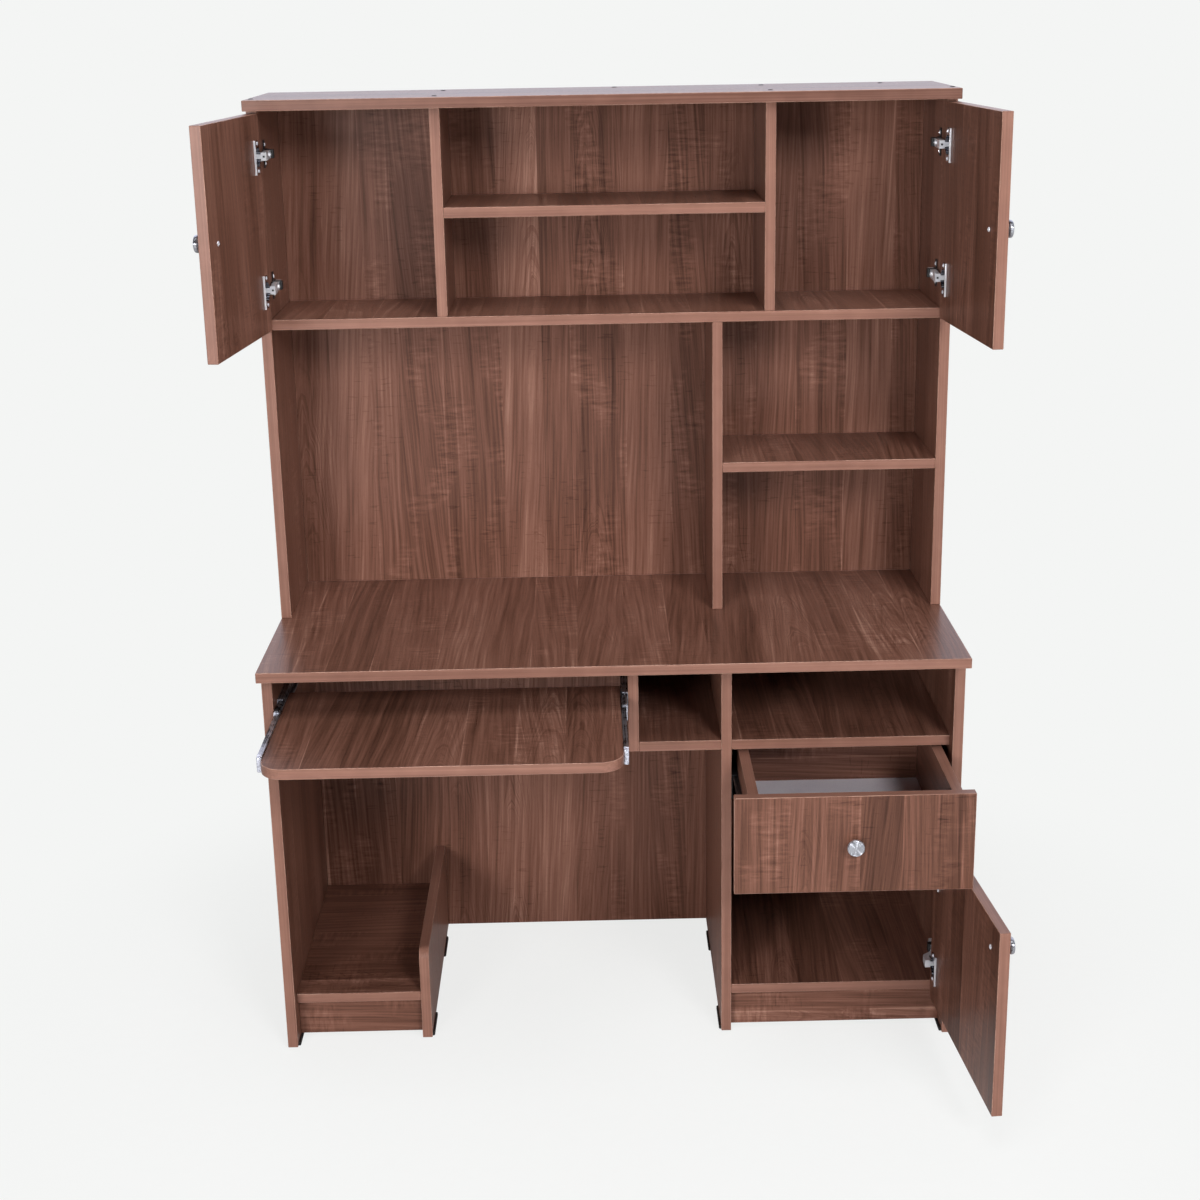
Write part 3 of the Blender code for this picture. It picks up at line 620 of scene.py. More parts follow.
@dataclass(frozen=True, kw_only=True)
class WhiteBoard(Mottled):
    """Thin white faced board under the drawer, with a pale fleck."""

    stops: Stops = ((0.3, (228, 225, 238)), (0.6, (243, 241, 250)))
    layers: Sequence[Layer] = (
        Layer((14.0, 9.0, 14.0), 3.0, 0.55, tone=0.6),
        Layer((700.0,) * 3, 2.0, 0.6, tone=0.7, rough=0.14),
    )
    relief: Span = (0.00005, 0.25)
    roughness: float = 0.36
    tone: float = -0.15


@dataclass(frozen=True)
class Metal(Finish):
    """Plated or polished steel, with the uneven polish and fine rubbing of real plating.

    The mottle and the lay are the swells of its clouds and of its rubbing for each metre. A spun piece
    was polished while it turned about an axis, which draws its highlights out from the middle.
    """

    colour: Colour
    shade: Colour
    smoothness: Span
    mottle: float
    rubbing: float
    metallic: float = 1.0
    lay: Point = (900.0, 160.0, 900.0)
    streaks: float = 0.4
    spun: Axis | None = None
    rub_depth: float = 0.00003
    rub_gloss: float = 0.4
    stain: Span = (0.3, 0.6)
    spin_polish: float = 0.95
    spin_turn: float = 0.25

    def paint(self, graph: Graph) -> None:
        """Plate the piece.

        Args:
            graph: The material's graph.
        """
        low, high = self.smoothness
        spread = high - low
        rub_rough = self.rub_gloss * spread
        clouds = Layer((self.mottle,) * 3, detail=3.0, fineness=0.55, tone=1.0, rough=spread)
        Mottled(
            stops=tuple(zip(self.stain, (self.shade, self.colour))),
            layers=(clouds, Layer(self.lay, fineness=0.6, tone=self.streaks, rough=rub_rough)),
            relief=(self.rub_depth, self.rubbing),
            roughness=low - rub_rough / 2,
            tone=-self.streaks / 2,
            metallic=self.metallic,
        ).paint(graph)
        if self.spun:
            rings = graph.node("Tangent", {}, direction_type="RADIAL", axis=self.spun.name).outputs[0]
            graph.surface(Anisotropic=self.spin_polish, Anisotropic_Rotation=self.spin_turn)
            graph.surface(Tangent=rings)


CHROME = Metal((200, 202, 210), (178, 180, 189), (0.34, 0.41), 120.0, 0.05)
# Nickel with a near-white, partly diffuse base: painted highlight that stands in for the bright
# reflections on the hinge arms, lips and screws.
NICKEL = Metal((248, 249, 254), (230, 231, 240), (0.10, 0.22), 60.0, 0.04, 0.38)
POLISHED_NICKEL = Metal((190, 190, 196), (156, 156, 162), (0.05, 0.12), 60.0, 0.03)
# Dark zinc whose colour is painted shade and painted dark reflection, for the hinges' mounting plates,
# the drawer slides and the screws on the hutch top.
ZINC_PAINTED_SHADE = Metal((70, 70, 73), (40, 40, 42), (0.30, 0.50), 200.0, 0.15, 0.80)
BRIGHT_ZINC = Metal((214, 216, 228), (182, 184, 198), (0.20, 0.36), 260.0, 0.15, 0.45)
ROLLED_ZINC = Metal(
    (176, 178, 186), (44, 46, 49), (0.20, 0.38), 60.0, 0.20, 0.85, lay=(430.0, 9.0, 430.0), streaks=1.6
)


@dataclass
class Palette:
    """The finishes of the desk, each made once and shared.

    Boards are cut from a print of that size, each a stride of it further than the last.
    """

    print_size: Spot = (9.0, 7.0)
    print_stride: Spot = (0.618, 0.414)
    boards: int = 0
    made: dict[str, bpy.types.Material] = field(default_factory=dict)

    def __post_init__(self) -> None:
        """Make the finishes that are not laminate or band."""
        self.nickel = NICKEL.build("nickel_plate")
        self.polished_nickel = POLISHED_NICKEL.build("polished_nickel")
        self.dull_zinc = ZINC_PAINTED_SHADE.build("dull_zinc")
        self.bright_zinc = BRIGHT_ZINC.build("bright_zinc")
        self.rolled_zinc = ROLLED_ZINC.build("rolled_zinc")
        self.plastic = MouldedPlastic().build("black_plastic")
        self.white = WhiteBoard().build("white_faced_board")
        self.arris = PaintedArrisHighlight().build("trimmed_arris")
        self.spun_chrome: dict[Axis, bpy.types.Material] = {}
        for axis in (Axis.X, Axis.Y):
            name = f"chrome_plate_{axis.name.lower()}"
            self.spun_chrome[axis] = replace(CHROME, spun=axis).build(name)

    def laminate(self, board: "Board") -> bpy.types.Material:
        """A board's own stretch of laminate.

        Args:
            board: The board.

        Returns:
            The material.
        """
        self.boards += 1
        places = zip(self.print_stride, self.print_size)
        u, w = (self.boards * stride % 1 * size for stride, size in places)
        across = board.face.other(board.grain)
        return Walnut(board.grain, across, (u, w), board.turn, board.tone).build("walnut_" + board.node)

    def band(self, length: Axis, turn: float, tone: float) -> bpy.types.Material:
        """The edge band for edges of one length axis.

        Args:
            length: Where the edges run.
            turn: Angle by which the board has swung open.
            tone: How much paler than most the band is; the hutch top's darker band is painted shade.

        Returns:
            The material.
        """
        name = f"edge_band_{length.name.lower()}_{round(math.degrees(turn))}_{round(PERCENT * tone)}"
        if name not in self.made:
            self.made[name] = EdgeBand(length, turn, tone).build(name)
        return self.made[name]


@dataclass
class Board:
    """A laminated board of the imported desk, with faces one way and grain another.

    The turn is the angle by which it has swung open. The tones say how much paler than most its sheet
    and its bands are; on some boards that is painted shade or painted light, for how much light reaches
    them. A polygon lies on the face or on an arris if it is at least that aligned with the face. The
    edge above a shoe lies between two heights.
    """

    node: str
    face: Axis
    grain: Axis
    turn: float = 0.0
    tone: float = 0.0
    band_tone: float = 0.0
    shoe_top: float = 0.0
    shoe_edge: Span = (0.0039, 0.0050)
    face_alignment: float = 0.95
    arris_alignment: float = 0.25

    def dress(self, palette: Palette) -> None:
        """Give the board laminate faces, banded edges and, on an upright, black shoes.

        Args:
            palette: The desk's finishes.
        """
        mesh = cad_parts[self.node].data
        bands = [palette.band(length, self.turn, self.band_tone) for length in Axis]
        mesh.materials.clear()
        for material in (palette.laminate(self), *bands, palette.plastic, palette.arris):
            mesh.materials.append(material)
        back = Matrix.Rotation(-self.turn, 3, "Z")
        for polygon in mesh.polygons:
            polygon.material_index = self.coat_of(polygon, mesh, back)
        LOG.info("board %s: faces %s, grain %s", self.node, self.face.name, self.grain.name)

    def coat_of(self, polygon: bpy.types.MeshPolygon, mesh: bpy.types.Mesh, back: Matrix) -> int:
        """Which of the board's finishes a polygon takes.

        Args:
            polygon: The polygon.
            mesh: Its mesh.
            back: The turn that closes the door the board belongs to.

        Returns:
            The finish's place among the board's materials.
        """
        heights = [mesh.vertices[index].co.z for index in polygon.vertices]
        low, high = self.shoe_edge
        on_edge = min(heights) > low and max(heights) < high
        if max(heights) < self.shoe_top and not on_edge:
            return Coat.PLASTIC
        sizes = {axis: abs(part) for axis, part in zip(Axis, back @ polygon.normal)}
        alignment = sizes.pop(self.face)
        if alignment > self.face_alignment:
            return Coat.LAMINATE
        if alignment > self.arris_alignment:
            return Coat.ARRIS
        return Coat.BAND + self.face.other(max(sizes, key=sizes.get)).value


def fresh_piece(name: str, work: bmesh.types.BMesh, material: bpy.types.Material) -> bpy.types.Object:
    """Turn a bmesh into a linked object with outward faces.

    Args:
        name: Name of the piece.
        work: The mesh, which is used up.
        material: Its finish.

    Returns:
        The object.
    """
    bmesh.ops.recalc_face_normals(work, faces=work.faces)
    mesh = bpy.data.meshes.new(name)
    work.to_mesh(mesh)
    work.free()
    mesh.shade_smooth()
    mesh.set_sharp_from_angle(angle=SHARP_ANGLE)
    mesh.materials.append(material)
    made = bpy.data.objects.new(name, mesh)
    bpy.context.scene.collection.objects.link(made)
    return made


def add_piece(
    name: str, work: bmesh.types.BMesh, material: bpy.types.Material, body: str
) -> bpy.types.Object:
    """Make a piece that rides on a body.

    Args:
        name: Name of the piece.
        work: Its mesh, in place at rest, which is used up.
        material: Its finish.
        body: The body that carries it.

    Returns:
        The piece.
    """
    piece = fresh_piece(name, work, material)
    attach(piece, body)
    LOG.info("piece %s rides on %s", piece.name, body)
    return piece


def add_block(
    work: bmesh.types.BMesh, x: Sequence[float], y: Sequence[float], z: Sequence[float], ease: float
) -> None:
    """Add a block with rounded edges to a mesh.

    Args:
        work: The mesh it joins.
        x: Where it starts and ends along X.
        y: Where it starts and ends along Y.
        z: Where it starts and ends along Z.
        ease: Radius of its edges.
    """
    spans = (x, y, z)
    middle = Matrix.Translation(Vector([(low + high) / 2 for low, high in spans]))
    size = Matrix.Diagonal(Vector([high - low for low, high in spans] + [1.0]))
    made = bmesh.ops.create_cube(work, size=1.0, matrix=middle @ size)
    edges = list({edge for vertex in made["verts"] for edge in vertex.link_edges})
    bmesh.ops.bevel(work, geom=edges, offset=ease, **BEVEL_STYLE)


def add_skin(work: bmesh.types.BMesh, rows: Sequence[Sequence[Sequence[float]]]) -> None:
    """Add a closed skin over rings of corners to a mesh.

    Args:
        work: The mesh it joins.
        rows: Rings from one end to the other, all of one count but for single corners at an end.
    """
    rings = [[work.verts.new(corner) for corner in row] for row in rows]
    count = max(len(ring) for ring in rings)
    for low, high in zip(rings, rings[1:]):
        for index in range(count):
            corners = [low[turn % len(low)] for turn in (index, index + 1)]
            corners += [high[turn % len(high)] for turn in (index + 1, index)]
            work.faces.new(tuple(dict.fromkeys(corners)))
    for ring in (rings[0][::-1], rings[-1]):
        if len(ring) > 1:
            work.faces.new(ring)


def around(radius: float, angle: float, rise: float) -> Vector:
    """A corner at a radius and angle round +Z, and at a rise along it."""
    return Vector((radius * math.cos(angle), radius * math.sin(angle), rise))


@dataclass(frozen=True)
class ScrewHead:
    """A domed screw head with a cross recess, its foot at the origin and its crown along +Z.

    The arm and slot are half the cross's length and width, and the floor its size at the bottom, as
    shares. The profile gives shares of the radius and of the height. The fill angles, in degrees, lie
    between the cross's arms.
    """

    radius: float
    height: float
    arm: float = 0.56
    slot: float = 0.15
    sink: float = 0.7
    floor: float = 0.8
    fill_angles: tuple[int, ...] = (30, 45, 60)
    profile: tuple[Spot, ...] = ((1.0, 0.0), (1.0, 0.35), (0.93, 0.62), (0.78, 0.86), (0.64, 1.0))

    def angles(self) -> list[float]:
        """Angles round the head, with one at each corner of the cross.

        Returns:
            The angles of one turn.
        """
        corner = math.atan2(self.slot, self.arm)
        quarter = [0.0, corner, *map(math.radians, self.fill_angles), math.pi / 2 - corner]
        return [turn * math.pi / 2 + angle for turn in range(QUARTERS) for angle in quarter]

    def reach(self, angle: float) -> float:
        """How far the cross reaches from the middle.

        Args:
            angle: Where round the head.

        Returns:
            The reach in metres.
        """
        across, along = sorted((abs(math.sin(angle)), abs(math.cos(angle))))
        to_end = self.arm / along
        to_side = self.slot / across if across else to_end
        return self.radius * min(to_end, to_side)

    def add_to(self, work: bmesh.types.BMesh, place: Matrix) -> None:
        """Add one screw head to a mesh.

        Args:
            work: The mesh it joins.
            place: Where the head's foot stands and where its crown points.
        """
        angles = self.angles()
        rings = []
        for share, rise in self.profile:
            rings.append([around(self.radius * share, angle, self.height * rise) for angle in angles])
        for share, rise in ((1.0, 1.0), (self.floor, 1.0 - self.sink)):
            height = self.height * rise
            rings.append([around(self.reach(angle) * share, angle, height) for angle in angles])
        add_skin(work, [[place @ corner for corner in ring] for ring in rings])


def pointing(place: Sequence[float], way: Sequence[float]) -> Matrix:
    """A matrix that stands a piece at a place with its +Z along a way."""
    return Matrix.Translation(Vector(place)) @ Vector(way).to_track_quat("Z", "Y").to_matrix().to_4x4()


def dress_plain(node: str, material: bpy.types.Material) -> None:
    """Give a whole node one finish.

    Args:
        node: Name of the node.
        material: The finish.
    """
    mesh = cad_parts[node].data
    mesh.materials.clear()
    mesh.materials.append(material)
    for polygon in mesh.polygons:
        polygon.material_index = 0
    LOG.info("fitting %s: %s", node, material.name)


def bend(start: Spot, corner: Spot, end: Spot, steps: int = 7) -> list[Spot]:
    """A smooth bend from start to end that leans towards a corner.

    Args:
        start: First spot.
        corner: Where the two end directions meet.
        end: Last spot.
        steps: Number of spots.

    Returns:
        The spots, ends included.
    """
    spots = []
    for index in range(steps):
        share = index / (steps - 1)
        first = Vector(start).lerp(Vector(corner), share)
        second = Vector(corner).lerp(Vector(end), share)
        spots.append(tuple(first.lerp(second, share)))
    return spots


@dataclass(frozen=True)
class Knob:
    """A turned mushroom knob with the screw that holds it, its foot at the origin and its cap along +Z.

    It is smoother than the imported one, and its neck is shorter. The outline runs from the rim of the
    foot to the middle of the cap in bends, each of two ends and a corner, as radius and rise.
    """

    facets: int = 64
    screw: ScrewHead = ScrewHead(0.0042, 0.0019)
    outline: tuple[tuple[Spot, Spot, Spot], ...] = (
        ((0.0080, 0.0012), (0.0080, 0.0030), (0.0064, 0.0030)),
        ((0.0060, 0.0030), (0.0052, 0.0030), (0.0052, 0.0042)),
        ((0.0052, 0.0064), (0.0053, 0.0092), (0.0084, 0.0102)),
        ((0.0104, 0.0107), (0.01435, 0.0120), (0.01445, 0.0146)),
        ((0.01445, 0.0150), (0.01445, 0.0188), (0.0128, 0.0191)),
        ((0.0124, 0.0191), (0.0117, 0.0186), (0.0111, 0.0187)),
        ((0.0104, 0.0188), (0.0052, 0.0194), (0.0, 0.0195)),
    )

    def rings(self) -> list[list[Vector]]:
        """Rings of corners from the middle of the foot to the middle of the cap.

        Returns:
            The rings, with a single corner at each end.
        """
        (foot, _), *_ = self.outline[0]
        profile = [(0.0, 0.0), (foot, 0.0)]
        for piece in self.outline:
            profile += bend(*piece)
        rings = []
        for radius, rise in profile:
            turns = range(self.facets if radius else 1)
            rings.append([around(radius, math.tau * turn / self.facets, rise) for turn in turns])
        return rings

    def fit(self, body: str, inner: Matrix, foot: Matrix, axis: Axis, palette: Palette) -> None:
        """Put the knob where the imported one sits, and its screw behind it.

        Args:
            body: The door or drawer that carries it.
            inner: Where the screw's foot stands on the inner face and where its crown points.
            foot: Where the knob's foot stands and where its cap points.
            axis: The axis it points along, or nearly.
            palette: The desk's finishes.
        """
        node = f"{body}_knob"
        work = bmesh.new()
        self.screw.add_to(work, inner)
        add_piece(f"{node}_screw", work, palette.nickel, body)
        work = bmesh.new()
        add_skin(work, [[foot @ corner for corner in ring] for ring in self.rings()])
        dress_plain(node, palette.spun_chrome[axis])
        knob = add_piece(f"{node}_turned", work, palette.spun_chrome[axis], body)
        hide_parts(node)


class Casework:
    """A sub-assembly of boards that don't move."""

    def boards(self) -> list[Board]:
        """The boards with their faces and grain."""
        raise NotImplementedError

    def dress(self, palette: Palette) -> None:
        """Dress every board."""
        for board in self.boards():
            board.dress(palette)


@dataclass
class Carcass(Casework):
    """The lower desk: desktop, uprights, shelves, floors and plinths."""

    shoe_top: float = 0.00805
    uprights: tuple[str, ...] = (
        "left_side_panel",
        "right_side_panel",
        "pedestal_partition",
        "cpu_divider",
    )
    shelves: tuple[str, ...] = ("desktop", "cubby_floor", "pedestal_shelf", "pedestal_floor")
    plinths: tuple[str, ...] = ("cpu_plinth", "pedestal_plinth")
    # Painted shade darkens the floors of the pedestal and of the cpu bay, and painted light brightens
    # the cpu plinth near the floor.
    tones: dict[str, float] = field(
        default_factory=lambda: {"pedestal_floor": -0.12, "cpu_floor": -0.09, "cpu_plinth": 0.06}
    )

    def boards(self) -> list[Board]:
        """The carcass boards with their faces and grain.

        Returns:
            The boards, in the order in which they are cut from the print.
        """
        made = [Board(node, Axis.X, Axis.Z, shoe_top=self.shoe_top) for node in self.uprights]
        made += [Board(node, Axis.Z, Axis.Y) for node in self.shelves]
        made += [Board(node, Axis.Y, Axis.X) for node in self.plinths]
        made.append(Board("cubby_divider", Axis.X, Axis.Z))
        made.append(Board("modesty_panel", Axis.Y, Axis.Z))
        made.append(Board("cpu_floor", Axis.Z, Axis.X))
        for board in made:
            board.tone = self.tones.get(board.node, 0.0)
        return made


@dataclass
class Hutch(Casework):
    """The shelf unit on the back of the desktop. Screws through its top are given by Y and X."""

    uprights: tuple[str, ...] = (
        "left_side",
        "right_side",
        "left_divider",
        "right_divider",
        "lower_divider",
    )
    shelves: tuple[str, ...] = ("deck", "middle_shelf", "lower_shelf")
    # The top's front band is darker: painted shade for the weaker light at the top of the hutch.
    top_band_painted_shade: float = -0.34
    top_screw: ScrewHead = ScrewHead(0.0047, 0.0013)
    top_screw_sink: float = 0.0002
    top_screws: tuple[Spot, ...] = (
        (0.198, -0.601),
        (0.198, -0.288),
        (0.198, 0.288),
        (0.198, 0.601),
        (0.397, -0.286),
        (0.397, 0.290),
        (0.415, 0.024),
        (0.397, 0.506),
    )

    def boards(self) -> list[Board]:
        """The hutch boards with their faces and grain.

        Returns:
            The boards, in the order in which they are cut from the print.
        """
        made = [Board(f"hutch_{name}", Axis.X, Axis.Z) for name in self.uprights]
        made += [Board(f"hutch_{name}", Axis.Z, Axis.Y) for name in self.shelves]
        made.append(Board("hutch_back", Axis.Y, Axis.Z))
        made.append(Board("hutch_top", Axis.Z, Axis.X, band_tone=self.top_band_painted_shade))
        return made

    def dress(self, palette: Palette) -> None:
        """Dress every board and add the screws on the top.

        Args:
            palette: The desk's finishes.
        """
        super().dress(palette)
        work = bmesh.new()
        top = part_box("hutch_top")[1].z - self.top_screw_sink
        for back, across in self.top_screws:
            self.top_screw.add_to(work, pointing((across, back, top), (0, 0, 1)))
        # The screws take the dark zinc: painted shade and painted dark reflection on their heads.
        add_piece("hutch_top_screws", work, palette.dull_zinc, "carcass")


@dataclass(kw_only=True)
class Door:
    """A door swung open on two concealed hinges, with a knob.

    Its fixings are laid out with the door closed and then swung by its turn about the hinge pins. On
    the door, across and depth count from the pins. On the upright, rise counts from the upright's face
    and back from the pins. A half is half a height.
    """

    name: str
    turn: float
    pin: Spot
    inward: int
    width: float
    hinge_heights: Span
    knob_height: float
    panel_face: float
    tone: float
    pin_edge: float = 0.007
    pin_depth: float = 0.0125
    cup_centre: float = 0.0205
    knob_edge: float = 0.047
    panel_thickness: float = 0.018
    knob_gap: float = 0.0003
    flange_top: float = 0.0013
    flange_screw: ScrewHead = ScrewHead(0.0032, 0.0011)
    flange_screw_reach: float = 0.0232
    lip_across: Span = (0.0313, 0.0347)
    lip_depth: Span = (0.0128, 0.0162)
    lip_half: float = 0.0288
    lip_ease: float = 0.0006
    plate_top: float = 0.0037
    plate_front: float = 0.025
    wing_top: float = 0.0021
    wing_back: float = 0.0649
    wing_screw: ScrewHead = ScrewHead(0.0036, 0.0014)
    wing_screw_reach: float = 0.016
    arm_top: float = 0.0128
    arm_screw: ScrewHead = ScrewHead(0.0038, 0.0024)
    arm_screw_backs: Span = (0.0462, 0.0772)
    # Black blocks that are painted shade: one across each hinge arm's body and a thin one in the hole at
    # its front.
    shade_block_rise: Span = (0.0034, 0.0178)
    shade_block_back: Span = (0.0572, 0.0702)
    shade_block_half: float = 0.0076
    shade_block_ease: float = 0.0012
    hole_shade_rise: Span = (0.0086, 0.0120)
    hole_shade_back: Span = (-0.0026, -0.00232)
    hole_shade_half: float = 0.0017
    hole_shade_ease: float = 0.0001

    def swing(self) -> Matrix:
        """The turn from closed to open about the hinge pins."""
        pivot = Matrix.Translation(Vector((*self.pin, 0.0)))
        return pivot @ Matrix.Rotation(self.turn, 4, "Z") @ pivot.inverted()

    def inwards(self, start: float, lengths: Sequence[float]) -> list[float]:
        """Places along X at lengths inwards of a start, the lowest first."""
        return sorted(start + self.inward * length for length in lengths)

    def dress(self, palette: Palette) -> None:
        """Dress the panel, hinges and knob, and add the fixings.

        Args:
            palette: The desk's finishes.
        """
        Board(f"{self.name}_panel", Axis.Y, Axis.Z, self.turn, self.tone).dress(palette)
        for place in ("lower", "upper"):
            dress_plain(f"{self.name}_{place}_hinge_cup", palette.polished_nickel)
            self.dress_arm(f"{self.name}_{place}_hinge_arm", palette)
        self.add_flange_screws(palette)
        self.add_flange_lips(palette)
        self.add_plate_screws(palette)
        self.add_levers(palette)
        self.add_knob(palette)

    def dress_arm(self, node: str, palette: Palette) -> None:
        """A hinge arm in nickel painted bright as a highlight, on a mounting plate in dark zinc that is
        painted shade.

        Args:
            node: The hinge arm.
            palette: The desk's finishes.
        """
        dress_plain(node, palette.nickel)
        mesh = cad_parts[node].data
        mesh.materials.append(palette.dull_zinc)
        for polygon in mesh.polygons:
            rise = self.inward * (polygon.center.x - self.panel_face)
            back = polygon.center.y - self.pin[1]
            # Polygons of the mounting plate, near the upright and behind the arm's front, take the dark
            # zinc as painted shade.
            polygon.material_index = int(rise < self.plate_top and back > self.plate_front)

    def add_flange_screws(self, palette: Palette) -> None:
        """Two screws through the flange of each hinge cup, on the door.

        Args:
            palette: The desk's finishes.
        """
        work = bmesh.new()
        x = self.pin[0] + self.inward * (self.cup_centre - self.pin_edge)
        y = self.pin[1] + self.pin_depth + self.flange_top
        for height in self.hinge_heights:
            for side in (-1, 1):
                spot = (x, y, height + side * self.flange_screw_reach)
                self.flange_screw.add_to(work, self.swing() @ pointing(spot, (0, 1, 0)))
        add_piece(f"{self.name}_flange_screws", work, palette.nickel, self.name)

    def add_flange_lips(self, palette: Palette) -> None:
        """The raised straight lip in front of each hinge cup, on the door.

        Args:
            palette: The desk's finishes.
        """
        work = bmesh.new()
        x = self.inwards(self.pin[0], self.lip_across)
        y = [self.pin[1] + depth for depth in self.lip_depth]
        for height in self.hinge_heights:
            add_block(work, x, y, (height - self.lip_half, height + self.lip_half), self.lip_ease)
        bmesh.ops.transform(work, matrix=self.swing(), verts=work.verts)
        add_piece(f"{self.name}_flange_lips", work, palette.nickel, self.name)

    def add_plate_screws(self, palette: Palette) -> None:
        """Two screws through each mounting plate and two in each hinge arm, on the upright.

        Args:
            palette: The desk's finishes.
        """
        work = bmesh.new()
        wing, arm = (self.panel_face + self.inward * top for top in (self.wing_top, self.arm_top))
        for height in self.hinge_heights:
            for side in (-1, 1):
                spot = (wing, self.pin[1] + self.wing_back, height + side * self.wing_screw_reach)
                self.wing_screw.add_to(work, pointing(spot, (self.inward, 0, 0)))
            for back in self.arm_screw_backs:
                spot = (arm, self.pin[1] + back, height)
                self.arm_screw.add_to(work, pointing(spot, (self.inward, 0, 0)))
        add_piece(f"{self.name}_plate_screws", work, palette.nickel, "carcass")

    def add_levers(self, palette: Palette) -> None:
        """Black blocks that are painted shade on each hinge arm, on the upright: one across the arm's
        body and a thin one in the hole at its front.

        Args:
            palette: The desk's finishes.
        """
        work = bmesh.new()
        shade_block = (self.shade_block_rise, self.shade_block_back, self.shade_block_half, self.shade_block_ease)
        slot = (self.hole_shade_rise, self.hole_shade_back, self.hole_shade_half, self.hole_shade_ease)
        for height in self.hinge_heights:
            for rises, backs, half, ease in (shade_block, slot):
                x = self.inwards(self.panel_face, rises)
                y = [self.pin[1] + back for back in backs]
                add_block(work, x, y, (height - half, height + half), ease)
        add_piece(f"{self.name}_levers", work, palette.plastic, "carcass")

    def add_knob(self, palette: Palette) -> None:
        """The knob and its screw.

        Args:
            palette: The desk's finishes.
        """
        x = self.pin[0] + self.inward * (self.width - self.pin_edge - self.knob_edge)
        y = self.pin[1] + self.pin_depth
        outer = y - self.panel_thickness - self.knob_gap
        inner = self.swing() @ pointing((x, y, self.knob_height), (0, 1, 0))
        foot = self.swing() @ pointing((x, outer, self.knob_height), (0, -1, 0))
        Knob().fit(self.name, inner, foot, Axis.X, palette)


@dataclass
class Drawer:
    """The drawer over the pedestal cupboard, on two side slides."""

    # The front is darker: painted shade that tones down the stronger light on this front-most board.
    front_painted_shade: float = -0.13

    def dress(self, palette: Palette) -> None:
        """Dress the box, front and slides, and fit the knob.

        Args:
            palette: The desk's finishes.
        """
        Board("drawer_front", Axis.Y, Axis.Z, tone=self.front_painted_shade).dress(palette)
        Board("drawer_back", Axis.Y, Axis.X).dress(palette)
        for side in ("left", "right"):
            Board(f"drawer_{side}_side", Axis.X, Axis.Y).dress(palette)
            for part in ("channel", "rail"):
                # The slides take the dark zinc: painted shade for the shade they sit in beside the
                # drawer.
                dress_plain(f"drawer_slide_{side}_{part}", palette.dull_zinc)
        dress_plain("drawer_bottom", palette.white)
        low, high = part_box("drawer_knob")
        x, z = (low.x + high.x) / 2, (low.z + high.z) / 2
        inner = pointing((x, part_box("drawer_front")[1].y, z), (0, 1, 0))
        Knob().fit("drawer", inner, pointing((x, high.y, z), (0, -1, 0)), Axis.Y, palette)


